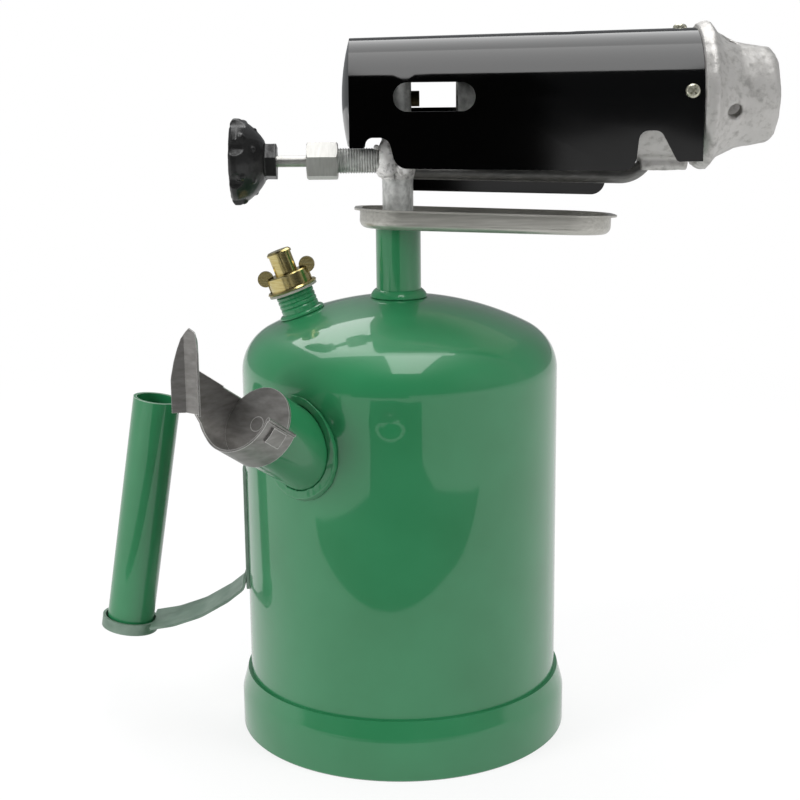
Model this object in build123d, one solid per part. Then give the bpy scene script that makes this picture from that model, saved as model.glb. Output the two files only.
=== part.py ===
from build123d import *
import math
import os

# A petrol blow lamp: a round pressed tank, a hand pump through its wall, a filler cap, a drip tray,
# a needle valve and a cast burner under a black sheet hood. Millimetres, +Z up, the origin at the
# middle of the foot, +X to the burner's mouth and -Y to the side with the pump.

# Tank, on a foot ring
tank_radius = 68.0
tank_sheet = 1.2
tank_edge_height = 17.0
shoulder_height = 160.0
dome_rise = 31.4
knuckle_radius = 19.8
bottom_flange = 3.0
bottom_knuckle = 4.2
bottom_rise = 7.5
skirt_step = 4.0
skirt_sheet = 1.4
skirt_wall_height = 16.0
skirt_taper = 9.5
hem_height = 3.2
hem_width = 2.6
hem_round = 0.6
braze_gap = 0.05
overrun = 5.0

# Fuel column in the middle of the tank
socket_radius = 9.6
socket_drop = 7.4
socket_rise = 29.1
socket_weld_radius = 12.4
socket_weld_rise = 3.6
bead_crest_share = 0.62
pipe_radius = 6.55
pipe_bore = 3.5
pipe_drop = 15.4
pickup_radius = 4.0
pickup_bore = 3.0
pickup_clearance = 3.5
pickup_socket_depth = 8.0
strainer_radius = 5.6
strainer_floor = 2.0
strainer_height = 13.0
strainer_hole = 0.8
strainer_rows = 2
strainer_columns = 8
strainer_first_row = 3.0
strainer_row_step = 2.6

# Drip tray, tilted down towards the burner's mouth and leaning down to its far side
tray_tilt = 2.2
tray_lean = 3.1
tray_length = 105.7
tray_width = 53.2
tray_left_reach = 16.3
tray_height = 8.2
tray_corner = 20.0
tray_bottom_round = 3.2
tray_sheet = 0.8
tray_rim = 2.4

# Needle valve, on an axis along X above the tray
valve_rise = 28.3
valve_tube_radius = 5.4
valve_tube_reach = 33.0
thread_start = 8.0
thread_pitch = 1.1
thread_depth = 0.55
chamber_radius = 6.6
chamber_drop = 9.2
chamber_rise = 9.7
stem_radius = 2.4
stem_reach = 67.6
stem_gap = 0.05
needle_length = 4.0
needle_tip_reach = 1.6
needle_tip_radius = 0.4
needle_seat_gap = 0.02
needle_room_radius = 3.2
needle_room_reach = 8.0
seat_radius = 1.0
seat_reach = 3.4
feed_radius = 1.7
feed_offset = 1.8
nut_flats = 14.3
nut_overlap = 7.9
nut_length = 13.1
nut_wall = 2.0
nut_turn = 45.0
nut_chamfer = 1.1
packing_washer_thickness = 0.8
packing_side_gap = 0.1
brazing_inset = 1.1
brazing_radius = 8.9
brazing_split_reach = 1.3
tube_brazing_height = 9.0
tube_brazing_radius = 8.3

# Handwheel of the needle valve
wheel_radius = 18.2
wheel_collar_radius = 8.0
wheel_collar_length = 5.1
wheel_dome_radius = 8.8
wheel_middle_radius = 13.9
wheel_middle_reach = 4.2
wheel_rim_reach = 10.5
wheel_rim_width = 2.3
wheel_rim_bevel = 1.2
wheel_face_radius = 16.8
wheel_recess_radius = 11.0
wheel_recess_depth = 6.0
wheel_lobes = 8
scallop_radius = 4.2
scallop_centre = 20.6
scallop_reach = 2.1
wheel_nut_flats = 8.0
wheel_nut_height = 3.2

# Vapour passages between the valve, the burner and the jet
burner_rise = 25.5
jet_column_radius = 6.55
jet_column_rise = 9.7
jet_column_bore = 3.0
jet_column_chamfer = 1.5
jet_radius = 3.2
jet_head_start = 6.0
jet_head_length = 3.4
jet_shank_radius = 2.2
jet_shank_start = 1.5
jet_orifice = 0.4
vapour_tube_radius = 3.0
vapour_tube_bore = 1.8
vapour_tube_drop = 4.9
vapour_tube_fall = 2.9
vapour_tube_lift = 10.0
vapour_tube_bend = 12.0
vapour_tube_depth = 2.0
back_tube_side = 17.0
back_tube_drop = 10.3
back_tube_bend = 8.0
back_tube_depth = 5.6

# Hood of black sheet over the burner
hood_lift = 0.2
hood_sheet = 1.0
hood_left_reach = 19.5
hood_start_radius = 24.7
hood_end = 123.7
hood_end_radius = 27.6
hood_dish_depth = 3.5
hood_depth = 44.0
hood_fit = 0.15
hood_left_drop = 19.2
hood_left_notch = 13.2
hood_left_notch_drop = 15.0
hood_left_notch_lean = 0.6
hood_left_notch_right = 3.6
hood_left_notch_foot = 0.6
hood_near_drops = (27.5, 29.2)
hood_far_drops = (40.3, 43.3)
hood_arch_left = 27.3
hood_arch_slope = 1.6
hood_arch_drop = 13.1
hood_arch_right = 17.1
hood_arch_foot = 10.3
hood_right_drop = 25.6
hood_far_corner = 34.1
hood_edge_bends = (1.2, 3.0, 4.5, 6.0, 6.0, 4.0, 4.0, 1.5)
window_left_reach = 1.6
window_right = 31.7
window_low_drop = 4.7
window_high_rise = 6.9
vent_place = 70.2
vent_radius = 6.2
vent_turn = 6.8
crown_turn = 12.0
near_screw_turn = 5.0
screw_setback = 5.0
screw_head_radius = 2.9
screw_head_height = 1.9
screw_head_round = 1.1
screw_shank_radius = 1.9
screw_shank_length = 7.5
screw_cross_width = 0.7
screw_cross_length = 3.4
screw_cross_depth = 0.9

# Cast burner head, on an axis along X; most places are counted from the left face of its ring
ring_gap = 0.3
spigot_length = 29.0
ring_radius = 30.7
ring_crest_reach = 3.0
ring_crest_width = 2.2
ring_shoulder_radius = 29.2
ring_foot_reach = 8.6
ring_foot_radius = 26.2
cone_reach = 17.0
cone_end_radius = 21.9
nozzle_reach = 33.0
nozzle_end_radius = 19.8
nozzle_corner = 2.6
mouth_radius = 16.0
mouth_depth = 49.0
mixing_radius = 12.0
mixing_sheet = 1.2
mixing_start = 25.2
mixing_flare = 1.6
mixing_flare_length = 6.0
mixing_socket_depth = 8.0
mixing_step_radius = 10.6
air_hole_radius = 3.0
air_hole_reach = 13.0
air_hole_turn = 14.7
air_hole_count = 4
gallery_inner = 18.6
gallery_outer = 21.4
gallery_reach = 10.0
gallery_width = 4.5
gallery_drill = 1.6
elbow_setback = 15.0
elbow_length = 10.0
lug_setback = 22.5
lug_length = 20.0
lug_width = 15.0
lug_drop = 30.7
lug_chamfer = 2.0

# Filler on the tank's dome, leaning away from the burner
filler_inset = 26.3
filler_tilt = 20.0
neck_radius = 8.25
neck_bore = 5.6
neck_depth = 3.0
neck_top = 10.3
neck_groove = 0.35
neck_groove_pitch = 1.9
neck_groove_first = 3.4
neck_groove_count = 4
neck_weld_radius = 10.0
neck_weld_rise = 1.6
gasket_thickness = 1.0
gasket_radius = 10.6
cap_rest_gap = 0.02
cap_shank_foot = 1.6
cap_shank_gap = 0.1
cap_flange_radius = 11.0
cap_flange_thickness = 1.2
cap_collar_radius = 9.0
cap_collar_height = 6.0
cap_collar_chamfer = 0.5
ear_radius = 3.4
ear_reach = 9.4
ear_rise = 0.4
ear_thickness = 2.2
relief_radius = 4.9
relief_height = 10.1
relief_crown_radius = 5.4
relief_crown_height = 1.6
relief_chamfer = 0.8
relief_room_radius = 2.6
relief_roof = 2.2
relief_hole = 1.2
relief_vent = 0.8
ball_radius = 2.2
ball_rest_gap = 0.02
spring_radius = 2.1
spring_bore = 1.4
spring_ball_gap = 0.2

# Carrying handle, on a bracket on the tank's wall
grip_radius = 10.3
grip_sheet = 1.4
grip_foot_gap = 54.0
grip_foot_drop = 16.0
grip_top_gap = 37.9
grip_rise = 99.8
grip_seat_depth = 3.8
cup_radius = 12.4
cup_sheet = 1.2
bracket_width = 24.0
bracket_sheet = 1.2
bracket_gap = 0.1
bracket_foot_height = 63.4
bracket_height = 53.2
strap_lap = 5.6
strap_lap_gap = 0.95
strap_gaps = (1.8, 9.2, 21.0, 33.4, 43.9)
strap_drops = (0.0, 5.8, 12.5, 16.6, 18.2)
strap_bends = (4.0, 9.0, 20.0, 20.0)

# Hand pump through the tank's wall
pump_azimuth = 53.0
pump_elevation = 32.0
pump_drop = 22.8
barrel_radius = 15.1
barrel_sheet = 1.2
pump_clearance = 18.8
barrel_end = 27.6
pump_weld_width = 3.2
pump_weld_rise = 2.6
guide_start = 22.0
guide_length = 5.0
guide_side_gap = 0.05
pump_rod_radius = 3.0
pump_rod_inset = 4.4
piston_plate_inset = 13.0
piston_plate_radius = 12.4
piston_plate_thickness = 1.5
leather_thickness = 1.3
leather_web = 1.6
leather_skirt = 6.4
leather_gap = 0.05
piston_washer_radius = 8.5
piston_washer_thickness = 1.4
piston_nut_flats = 8.0
piston_nut_height = 3.2
pump_base_thickness = 3.0
pump_base_hole = 1.3
check_body_radius = 6.0
check_body_length = 8.0
check_wall = 1.0
check_room_radius = 2.6

# Pressed handle of the pump: a gutter, a tongue along its far side and an upright leaf
gutter_gap = 0.3
gutter_sheet = 0.95
gutter_lap = 3.0
gutter_length = 17.4
gutter_near_angle = -177.0
gutter_far_angle = 36.0
gutter_hem = 0.8
tongue_length = 35.4
tongue_edge_reaches = (17.4, 19.8, 23.1)
tongue_edge_drops = (12.5, 7.4, 5.05)
leaf_distance = 43.4
leaf_side = 12.5
leaf_facet = 6.5
leaf_flange = 5.8
leaf_lip = 4.0
leaf_bend = 43.0
leaf_sheet = 0.9
leaf_foot_rise = 21.1
leaf_reach = 36.7
leaf_left_insets = (11.8, 10.9, 10.1, 8.9, 7.4, 5.9, 4.0)
leaf_left_rises = (0.0, 9.0, 14.4, 20.2, 25.2, 29.1, 31.7)
leaf_tip_inset = 2.5
leaf_tip_rise = 33.3
leaf_right_outsets = (0.0, 0.9, 1.6, 1.6)
leaf_right_rises = (31.9, 29.0, 24.0, 0.0)
rest_gap = 0.3
handle_disc_radius = 15.3
handle_disc_thickness = 1.2
tab_setback = 5.4
tab_length = 8.0
tab_from_angle = -171.0
tab_to_angle = -150.0
tab_thickness = 0.9

# The crown of the dome is an arc that runs smoothly into the knuckle
apex_height = shoulder_height + dome_rise
crown_run = tank_radius - knuckle_radius
crown_square = crown_run**2 + dome_rise**2 - knuckle_radius**2
crown_radius = crown_square / (2 * (dome_rise - knuckle_radius))
crown_centre = apex_height - crown_radius
crown_angle = math.degrees(math.atan2(shoulder_height - crown_centre, crown_run))

# Heights and places that follow from the sizes above
bottom_flange_height = tank_edge_height + bottom_flange
bottom_crown_height = bottom_flange_height + bottom_rise
skirt_radius = tank_radius + skirt_step
filler_reach = tank_radius - filler_inset
skirt_top_height = skirt_wall_height + skirt_taper
socket_foot_height = apex_height - socket_drop
pipe_foot_height = apex_height - pipe_drop
pickup_foot_height = bottom_crown_height + pickup_clearance
strainer_foot_height = pickup_foot_height - strainer_floor
tray_seat_height = apex_height + socket_rise
valve_height = tray_seat_height + valve_rise
pipe_top_height = valve_height - chamber_drop
chamber_top_height = valve_height + chamber_rise
brazing_low = pipe_top_height + brazing_inset
brazing_high = chamber_top_height - brazing_inset
tube_brazing_high = brazing_low + tube_brazing_height
nut_start = valve_tube_reach - nut_overlap
nut_end = nut_start + nut_length
wheel_face = stem_reach + wheel_rim_width
wheel_rim_end = wheel_face - wheel_rim_bevel
wheel_rim_start = wheel_rim_end - wheel_rim_width
wheel_collar_end = wheel_rim_start - wheel_rim_reach
wheel_collar_start = wheel_collar_end - wheel_collar_length
wheel_middle = wheel_collar_end + wheel_middle_reach
wheel_recess_floor = wheel_face - wheel_recess_depth
scallop_start = wheel_collar_end + scallop_reach
burner_height = valve_height + burner_rise
jet_column_top = burner_height + jet_column_rise
jet_head_end = jet_head_start + jet_head_length
vapour_tube_height = valve_height - vapour_tube_drop
vapour_tube_far_height = vapour_tube_height - vapour_tube_fall
vapour_tube_end_height = vapour_tube_far_height + vapour_tube_lift
back_tube_height = burner_height - back_tube_drop
hood_height = burner_height + hood_lift
hood_start = -hood_left_reach
screw_place = hood_end - screw_setback
ring_start = hood_end + ring_gap
spigot_start = ring_start - spigot_length
ring_crest = ring_start + ring_crest_reach
ring_crest_end = ring_crest + ring_crest_width
ring_foot = ring_start + ring_foot_reach
cone_end = ring_start + cone_reach
nozzle_end = ring_start + nozzle_reach
mouth_floor = nozzle_end - mouth_depth
mixing_socket_end = spigot_start + mixing_socket_depth
air_hole_place = ring_start + air_hole_reach
gallery_start = spigot_start + gallery_reach
gallery_end = gallery_start + gallery_width
vapour_tube_end = ring_start - elbow_setback
vapour_tube_far = vapour_tube_end - elbow_length
lug_start = ring_start - lug_setback
lug_end = lug_start + lug_length
lug_foot_height = burner_height - lug_drop
cap_seat = neck_top + gasket_thickness + cap_rest_gap
cap_collar_top = cap_seat + cap_flange_thickness + cap_collar_height
relief_top = cap_collar_top + relief_height
relief_crown_start = relief_top - relief_crown_height
relief_room_top = relief_top - relief_roof
grip_foot_reach = tank_radius + grip_foot_gap
grip_foot_height = bracket_foot_height - grip_foot_drop
grip_top_reach = tank_radius + grip_top_gap
grip_top_height = grip_foot_height + grip_rise
pump_foot_height = shoulder_height - pump_drop
barrel_foot = (pump_clearance - tank_radius) / math.cos(math.radians(pump_elevation))
pump_rod_foot = barrel_foot + pump_rod_inset
piston_plate_top = barrel_foot + piston_plate_inset
guide_end = guide_start + guide_length
pump_rod_end = barrel_end + rest_gap + handle_disc_thickness
gutter_start = barrel_end - gutter_lap
gutter_end = gutter_start + gutter_length
tongue_end = gutter_start + tongue_length
tab_start = gutter_start + tab_setback
tab_end = tab_start + tab_length
leaf_foot_height = pump_foot_height + leaf_foot_rise

standing = (Align.CENTER, Align.CENTER, Align.MIN)
upright = Plane.XY
burner_axis = Plane(origin=(0, 0, burner_height), x_dir=(0, 0, 1), z_dir=(1, 0, 0))
valve_axis = Plane(origin=(0, 0, valve_height), x_dir=(0, 0, 1), z_dir=(-1, 0, 0))


def slope(angle):
    """The cosine and sine of an angle in degrees."""
    return math.cos(math.radians(angle)), math.sin(math.radians(angle))


def dome_height(radius):
    """The height of the dome's outside at a radius within its crown."""
    return crown_centre + math.sqrt(crown_radius**2 - radius**2)


def tray_plane():
    run, fall = slope(tray_tilt)
    upward, sideways = slope(tray_lean)
    return Plane(
        origin=(0, 0, tray_seat_height),
        x_dir=(run, 0, -fall),
        z_dir=(fall * upward, sideways, run * upward),
    )


def filler_plane():
    upward, sideways = slope(filler_tilt)
    return Plane(
        origin=(-filler_reach, 0, dome_height(filler_reach)),
        x_dir=(upward, 0, sideways),
        z_dir=(-sideways, 0, upward),
    )


def grip_plane():
    along = (grip_foot_reach - grip_top_reach, 0, grip_top_height - grip_foot_height)
    foot = (-grip_foot_reach, 0, grip_foot_height)
    return Plane(origin=foot, x_dir=(along[2], 0, -along[0]), z_dir=along)


def pump_plane():
    """The pump's frame: z out along the pump, x in its upright plane, y level and away from the burner."""
    west, south = slope(pump_azimuth)
    level, rise = slope(pump_elevation)
    return Plane(
        origin=(-tank_radius * west, -tank_radius * south, pump_foot_height),
        x_dir=(rise * west, rise * south, level),
        z_dir=(-level * west, -level * south, rise),
    )


tray_frame = tray_plane()
filler_axis = filler_plane()
grip_axis = grip_plane()
pump_axis = pump_plane()


def rod(frame, radius, start, end):
    """A solid cylinder on the z axis of a frame, between two heights."""
    return frame.location * Pos(0, 0, start) * Cylinder(radius, end - start, align=standing)


def tube(frame, outer, inner, start, end):
    """A hollow cylinder on the z axis of a frame."""
    return rod(frame, outer, start, end) - rod(frame, inner, start - overrun, end + overrun)


def turned(frame, outline):
    """A solid turned about the z axis of a frame from points of radius and height."""
    face = Plane.XZ * make_face(Polyline(*outline, close=True))
    return frame.location * revolve(face, Axis.Z)


def six_sided(frame, flats, bore, start, end, turn=0):
    """A hexagonal nut blank with a round bore on the z axis of a frame."""
    hexagon = RegularPolygon(flats / 2, 6, major_radius=False, rotation=turn)
    blank = extrude(hexagon, end - start)
    blank = frame.location * Pos(0, 0, start) * blank
    return blank - rod(frame, bore, start - overrun, end + overrun)


def block(low, high):
    """A box between two opposite corners."""
    size = [top - bottom for bottom, top in zip(low, high)]
    middle = [(top + bottom) / 2 for bottom, top in zip(low, high)]
    return Pos(*middle) * Box(*size)


def lens_ring(frame, inner, outer, low, high):
    """A bead of braze: a ring whose outside bulges between two heights."""
    bulge = ThreePointArc((inner, low), (outer, (low + high) / 2), (inner, high))
    face = Plane.XZ * make_face(Curve() + [bulge, Line((inner, high), (inner, low))])
    return frame.location * revolve(face, Axis.Z)


def tank_skin(inset):
    """The solid inside the tank's outer face, drawn in by an inset."""
    wall = tank_radius - inset
    knuckle = knuckle_radius - inset
    crown = crown_radius - inset
    run, rise = slope(crown_angle)
    join = (crown * run, crown_centre + crown * rise)
    edges = [
        Line((0, tank_edge_height), (wall, tank_edge_height)),
        Line((wall, tank_edge_height), (wall, shoulder_height)),
        CenterArc((crown_run, shoulder_height), knuckle, 0, crown_angle),
        CenterArc((0, crown_centre), crown, crown_angle, 90 - crown_angle),
        Line((0, crown_centre + crown), (0, tank_edge_height)),
    ]
    return revolve(Plane.XZ * make_face(Curve() + edges), Axis.Z)


def tank_shell():
    shell = tank_skin(0) - tank_skin(tank_sheet)
    shell -= rod(upright, tank_radius - tank_sheet, 0, tank_edge_height + overrun)
    shell -= rod(upright, socket_radius + braze_gap, socket_foot_height, apex_height + overrun)
    shell -= rod(filler_axis, neck_radius + braze_gap, -neck_depth - overrun, neck_top)
    shell -= rod(pump_axis, barrel_radius + braze_gap, barrel_foot, barrel_end)
    return shell


def tank_bottom():
    """A dished disc with its flange turned down inside the shell."""
    outer = tank_radius - tank_sheet - braze_gap
    inner = outer - tank_sheet
    knee = outer - bottom_knuckle
    knee_top = bottom_flange_height + bottom_knuckle
    bend_inner = bottom_knuckle - tank_sheet
    edges = [
        Line((outer, tank_edge_height), (outer, bottom_flange_height)),
        CenterArc((knee, bottom_flange_height), bottom_knuckle, 0, 90),
        Line((knee, knee_top), (0, bottom_crown_height)),
        Line((0, bottom_crown_height), (0, bottom_crown_height - tank_sheet)),
        Line((0, bottom_crown_height - tank_sheet), (knee, knee_top - tank_sheet)),
        CenterArc((knee, bottom_flange_height), bend_inner, 0, 90),
        Line((inner, bottom_flange_height), (inner, tank_edge_height)),
        Line((inner, tank_edge_height), (outer, tank_edge_height)),
    ]
    return revolve(Plane.XZ * make_face(Curve() + edges), Axis.Z)


def base_skirt():
    """The foot ring: a wall with a rolled hem, drawn in to the tank above it."""
    inner = skirt_radius - skirt_sheet
    top = tank_radius + braze_gap
    outline = [
        (skirt_radius - hem_round, 0),
        (skirt_radius, hem_round),
        (skirt_radius, skirt_wall_height),
        (top + skirt_sheet, skirt_top_height),
        (top, skirt_top_height),
        (inner, skirt_wall_height),
        (inner, hem_height),
        (skirt_radius - hem_width, hem_height - hem_round),
        (skirt_radius - hem_width, hem_round),
        (skirt_radius - hem_width + hem_round, 0),
    ]
    return turned(upright, outline)


def tray_envelope(inset, height):
    """The tray's outside, or its hollow when drawn in by an inset."""
    middle = tray_length / 2 - tray_left_reach
    plan = RectangleRounded(
        tray_length - 2 * inset,
        tray_width - 2 * inset,
        tray_corner - inset,
    )
    shape = extrude(Pos(middle, 0, inset) * plan, height)
    floor_edges = shape.faces().sort_by(Axis.Z)[0].edges()
    return fillet(floor_edges, tray_bottom_round - inset)


def drip_tray():
    middle = tray_length / 2 - tray_left_reach
    rim_plan = RectangleRounded(
        tray_length + 2 * tray_rim,
        tray_width + 2 * tray_rim,
        tray_corner + tray_rim,
    )
    rim = extrude(Pos(middle, 0, tray_height - tray_sheet) * rim_plan, tray_sheet)
    tray = tray_envelope(0, tray_height) + rim - tray_envelope(tray_sheet, tray_height)
    tray = tray_frame.location * tray
    return tray - rod(upright, pipe_radius + braze_gap, socket_foot_height, chamber_top_height)


def riser_socket():
    """The thick sleeve under the tray, its top cut to the tray's tilt."""
    sleeve = tube(
        upright,
        socket_radius,
        pipe_radius + braze_gap,
        socket_foot_height,
        tray_seat_height + overrun,
    )
    above = rod(tray_frame, socket_radius + overrun, 0, 2 * overrun)
    return sleeve - above


def riser_weld():
    """The bead of braze in the corner between the riser and the dome."""
    inner = socket_radius + braze_gap
    inner_foot = dome_height(inner) + braze_gap
    outer_foot = dome_height(socket_weld_radius) + braze_gap
    top = inner_foot + socket_weld_rise
    crest_radius = inner + (socket_weld_radius - inner) * bead_crest_share
    crest_height = outer_foot + (top - outer_foot) * bead_crest_share
    edges = [
        Line((inner, inner_foot), (socket_weld_radius, outer_foot)),
        ThreePointArc((socket_weld_radius, outer_foot), (crest_radius, crest_height), (inner, top)),
        Line((inner, top), (inner, inner_foot)),
    ]
    return revolve(Plane.XZ * make_face(Curve() + edges), Axis.Z)


def fuel_pipe():
    pipe = tube(upright, pipe_radius, pipe_bore, pipe_foot_height, pipe_top_height)
    socket = rod(
        upright,
        pickup_radius + braze_gap,
        pipe_foot_height - overrun,
        pipe_foot_height + pickup_socket_depth,
    )
    return pipe - socket


def pickup_tube():
    top = pipe_foot_height + pickup_socket_depth
    return tube(upright, pickup_radius, pickup_bore, pickup_foot_height, top)


def strainer():
    """A brass cap over the foot of the pickup tube, with rows of small holes."""
    cap = rod(upright, strainer_radius, strainer_foot_height, strainer_foot_height + strainer_height)
    cap -= rod(
        upright,
        pickup_radius + braze_gap,
        pickup_foot_height,
        strainer_foot_height + strainer_height + overrun,
    )
    hole = rod(Plane.YZ, strainer_hole, 0, strainer_radius + overrun)
    for row in range(strainer_rows):
        height = pickup_foot_height + strainer_first_row + row * strainer_row_step
        for column in range(strainer_columns):
            turn = 360 * column / strainer_columns
            cap -= Pos(0, 0, height) * Rot(0, 0, turn) * hole
    return cap


def threaded_rod(frame, radius, start, end):
    """A rod with ring teeth for its thread."""
    count = int((end - start) / thread_pitch)
    outline = [(0, start)]
    for tooth in range(count):
        foot = start + tooth * thread_pitch
        outline.append((radius - thread_depth, foot))
        outline.append((radius, foot + thread_pitch / 2))
    outline.append((radius - thread_depth, start + count * thread_pitch))
    outline.append((radius - thread_depth, end))
    outline.append((0, end))
    return turned(frame, outline)


def valve_body():
    """The upright chamber with its threaded side tube, the needle's seat and the drilled passages."""
    body = rod(upright, chamber_radius, pipe_top_height, chamber_top_height)
    body += rod(valve_axis, valve_tube_radius - thread_depth, 0, thread_start)
    body += threaded_rod(valve_axis, valve_tube_radius, thread_start, valve_tube_reach)
    body -= rod(valve_axis, stem_radius + stem_gap, 0, valve_tube_reach + overrun)
    body -= rod(valve_axis, needle_room_radius, 0, needle_room_reach)
    body -= rod(valve_axis, seat_radius, -seat_reach, 0)
    body -= Pos(-feed_offset, 0, 0) * rod(upright, feed_radius, pipe_foot_height, valve_height)
    body -= Pos(seat_reach, 0, 0) * rod(upright, seat_radius, vapour_tube_height, valve_height)
    socket = Plane(origin=(0, 0, vapour_tube_height), x_dir=(0, 0, 1), z_dir=(1, 0, 0))
    body -= rod(socket, seat_radius, seat_reach, chamber_radius)
    return body - vapour_tube_hole()


def gland_nut():
    nut = six_sided(valve_axis, nut_flats, stem_radius + 2 * stem_gap, nut_start, nut_end, nut_turn)
    corner = nut_flats / 2 / slope(30)[0]
    limit = [
        (0, nut_start),
        (corner - nut_chamfer, nut_start),
        (corner, nut_start + nut_chamfer / 2),
        (corner, nut_end - nut_chamfer / 2),
        (corner - nut_chamfer, nut_end),
        (0, nut_end),
    ]
    nut &= turned(valve_axis, limit)
    return nut - rod(valve_axis, valve_tube_radius + braze_gap, nut_start - overrun, nut_end - nut_wall)


def packing_washer():
    end = nut_end - nut_wall
    return tube(
        valve_axis,
        valve_tube_radius - packing_side_gap,
        stem_radius + 2 * stem_gap,
        end - packing_washer_thickness,
        end,
    )


def valve_packing():
    end = nut_end - nut_wall - packing_washer_thickness
    return tube(
        valve_axis,
        valve_tube_radius - packing_side_gap,
        stem_radius + stem_gap,
        valve_tube_reach,
        end,
    )


def valve_stem():
    tip = [
        (0, -needle_tip_reach),
        (needle_tip_radius, -needle_tip_reach),
        (seat_radius - needle_seat_gap, 0),
        (stem_radius, needle_length),
        (stem_radius, stem_reach),
        (0, stem_reach),
    ]
    return turned(valve_axis, tip)


def handwheel():
    """The bakelite wheel: a collar, a bell and a lobed rim, hollow behind."""
    bore = stem_radius + stem_gap
    edges = [
        Line((bore, wheel_collar_end), (wheel_dome_radius, wheel_collar_end)),
        ThreePointArc(
            (wheel_dome_radius, wheel_collar_end),
            (wheel_middle_radius, wheel_middle),
            (wheel_radius, wheel_rim_start),
        ),
        Line((wheel_radius, wheel_rim_start), (wheel_radius, wheel_rim_end)),
        Line((wheel_radius, wheel_rim_end), (wheel_face_radius, wheel_face)),
        Line((wheel_face_radius, wheel_face), (wheel_recess_radius, wheel_face)),
        Line((wheel_recess_radius, wheel_face), (wheel_recess_radius, wheel_recess_floor)),
        Line((wheel_recess_radius, wheel_recess_floor), (bore, wheel_recess_floor)),
        Line((bore, wheel_recess_floor), (bore, wheel_collar_end)),
    ]
    wheel = valve_axis.location * revolve(Plane.XZ * make_face(Curve() + edges), Axis.Z)
    wheel += six_sided(
        valve_axis,
        2 * wheel_collar_radius * slope(30)[0],
        bore,
        wheel_collar_start,
        wheel_collar_end,
        nut_turn,
    )
    for lobe in range(wheel_lobes):
        turn = 360 * (lobe + 1 / 2) / wheel_lobes
        cutter = Pos(scallop_centre, 0, scallop_start) * Cylinder(
            scallop_radius,
            wheel_face - scallop_start + overrun,
            align=standing,
        )
        wheel -= valve_axis.location * Rot(0, 0, turn) * cutter
    return wheel


def handwheel_nut():
    return six_sided(
        valve_axis,
        wheel_nut_flats,
        stem_radius + stem_gap,
        wheel_recess_floor,
        wheel_recess_floor + wheel_nut_height,
        0,
    )


def pipe_braze():
    """The bead on the side of the chamber towards the handwheel."""
    bead = lens_ring(upright, chamber_radius + braze_gap, brazing_radius, brazing_low, brazing_high)
    bead -= rod(valve_axis, valve_tube_radius + braze_gap, 0, valve_tube_reach)
    keep = block(
        (-brazing_radius, -brazing_radius, brazing_low),
        (-brazing_split_reach, brazing_radius, brazing_high),
    )
    return bead & keep


def tube_braze():
    """The bead on the side of the chamber towards the burner, round the vapour tube."""
    inner = chamber_radius + braze_gap
    bead = lens_ring(upright, inner, tube_brazing_radius, brazing_low, tube_brazing_high)
    bead -= vapour_tube_hole()
    keep = block(
        (braze_gap - brazing_split_reach, -brazing_radius, brazing_low),
        (brazing_radius, brazing_radius, tube_brazing_high),
    )
    return bead & keep


def jet_column():
    """The closed pillar on the valve chamber that carries the jet."""
    pillar = rod(upright, jet_column_radius, chamber_top_height, jet_column_top)
    pillar = chamfer(pillar.faces().sort_by(Axis.Z)[-1].edges(), jet_column_chamfer)
    pillar -= rod(upright, jet_column_bore, chamber_top_height - overrun, burner_height + jet_radius)
    flat = block(
        (jet_head_start, -jet_column_radius, burner_height - jet_radius - overrun),
        (jet_column_radius + overrun, jet_column_radius, burner_height + jet_radius + overrun),
    )
    pillar -= flat
    pillar -= rod(burner_axis, jet_shank_radius + braze_gap, 0, jet_head_start + overrun)
    side = Plane(origin=(0, 0, back_tube_height), x_dir=(1, 0, 0), z_dir=(0, 1, 0))
    pillar -= rod(side, vapour_tube_bore, 0, jet_column_radius)
    fit = vapour_tube_radius + braze_gap
    socket_floor = jet_column_radius - vapour_tube_depth
    return pillar - rod(side, fit, socket_floor, jet_column_radius + overrun)


def jet():
    """The brass jet with its tiny orifice on the burner's axis."""
    piece = rod(burner_axis, jet_shank_radius, jet_shank_start, jet_head_start)
    piece += rod(burner_axis, jet_radius, jet_head_start, jet_head_end)
    return piece - rod(burner_axis, jet_orifice, 0, jet_head_end + overrun)


def pipe_on_path(points, bends, outer, inner):
    """A tube along straight runs joined by arcs."""
    path = FilletPolyline(*points, radius=bends)
    start = Plane(origin=path @ 0, z_dir=path % 0)
    solid = sweep(start * Circle(outer), path=path)
    if inner:
        solid -= sweep(start * Circle(inner), path=path)
    return solid


def vapour_tube_points():
    start = chamber_radius - vapour_tube_depth
    return [
        (start, 0, vapour_tube_height),
        (vapour_tube_far, 0, vapour_tube_far_height),
        (vapour_tube_end, 0, vapour_tube_end_height),
    ]


def vapour_tube_hole():
    """The bore that the fuel tube fits in."""
    return pipe_on_path(vapour_tube_points(), vapour_tube_bend, vapour_tube_radius + braze_gap, 0)


def vaporiser_tube():
    """The tube that takes fuel along the tray to the hot burner head."""
    return pipe_on_path(vapour_tube_points(), vapour_tube_bend, vapour_tube_radius, vapour_tube_bore)


def return_tube_points():
    return [
        (spigot_start + back_tube_depth, back_tube_side, back_tube_height),
        (0, back_tube_side, back_tube_height),
        (0, jet_column_radius - vapour_tube_depth, back_tube_height),
    ]


def return_tube():
    """The tube that brings vapour back from the burner head to the jet."""
    return pipe_on_path(return_tube_points(), back_tube_bend, vapour_tube_radius, vapour_tube_bore)


def mixing_tube():
    """The tube where vapour and air mix, flared at its open end."""
    flare_end = mixing_start + mixing_flare_length
    inner = mixing_radius - mixing_sheet
    outline = [
        (mixing_radius + mixing_flare, mixing_start),
        (mixing_radius, flare_end),
        (mixing_radius, mixing_socket_end),
        (inner, mixing_socket_end),
        (inner, flare_end),
        (inner + mixing_flare, mixing_start),
    ]
    return turned(burner_axis, outline)


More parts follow.
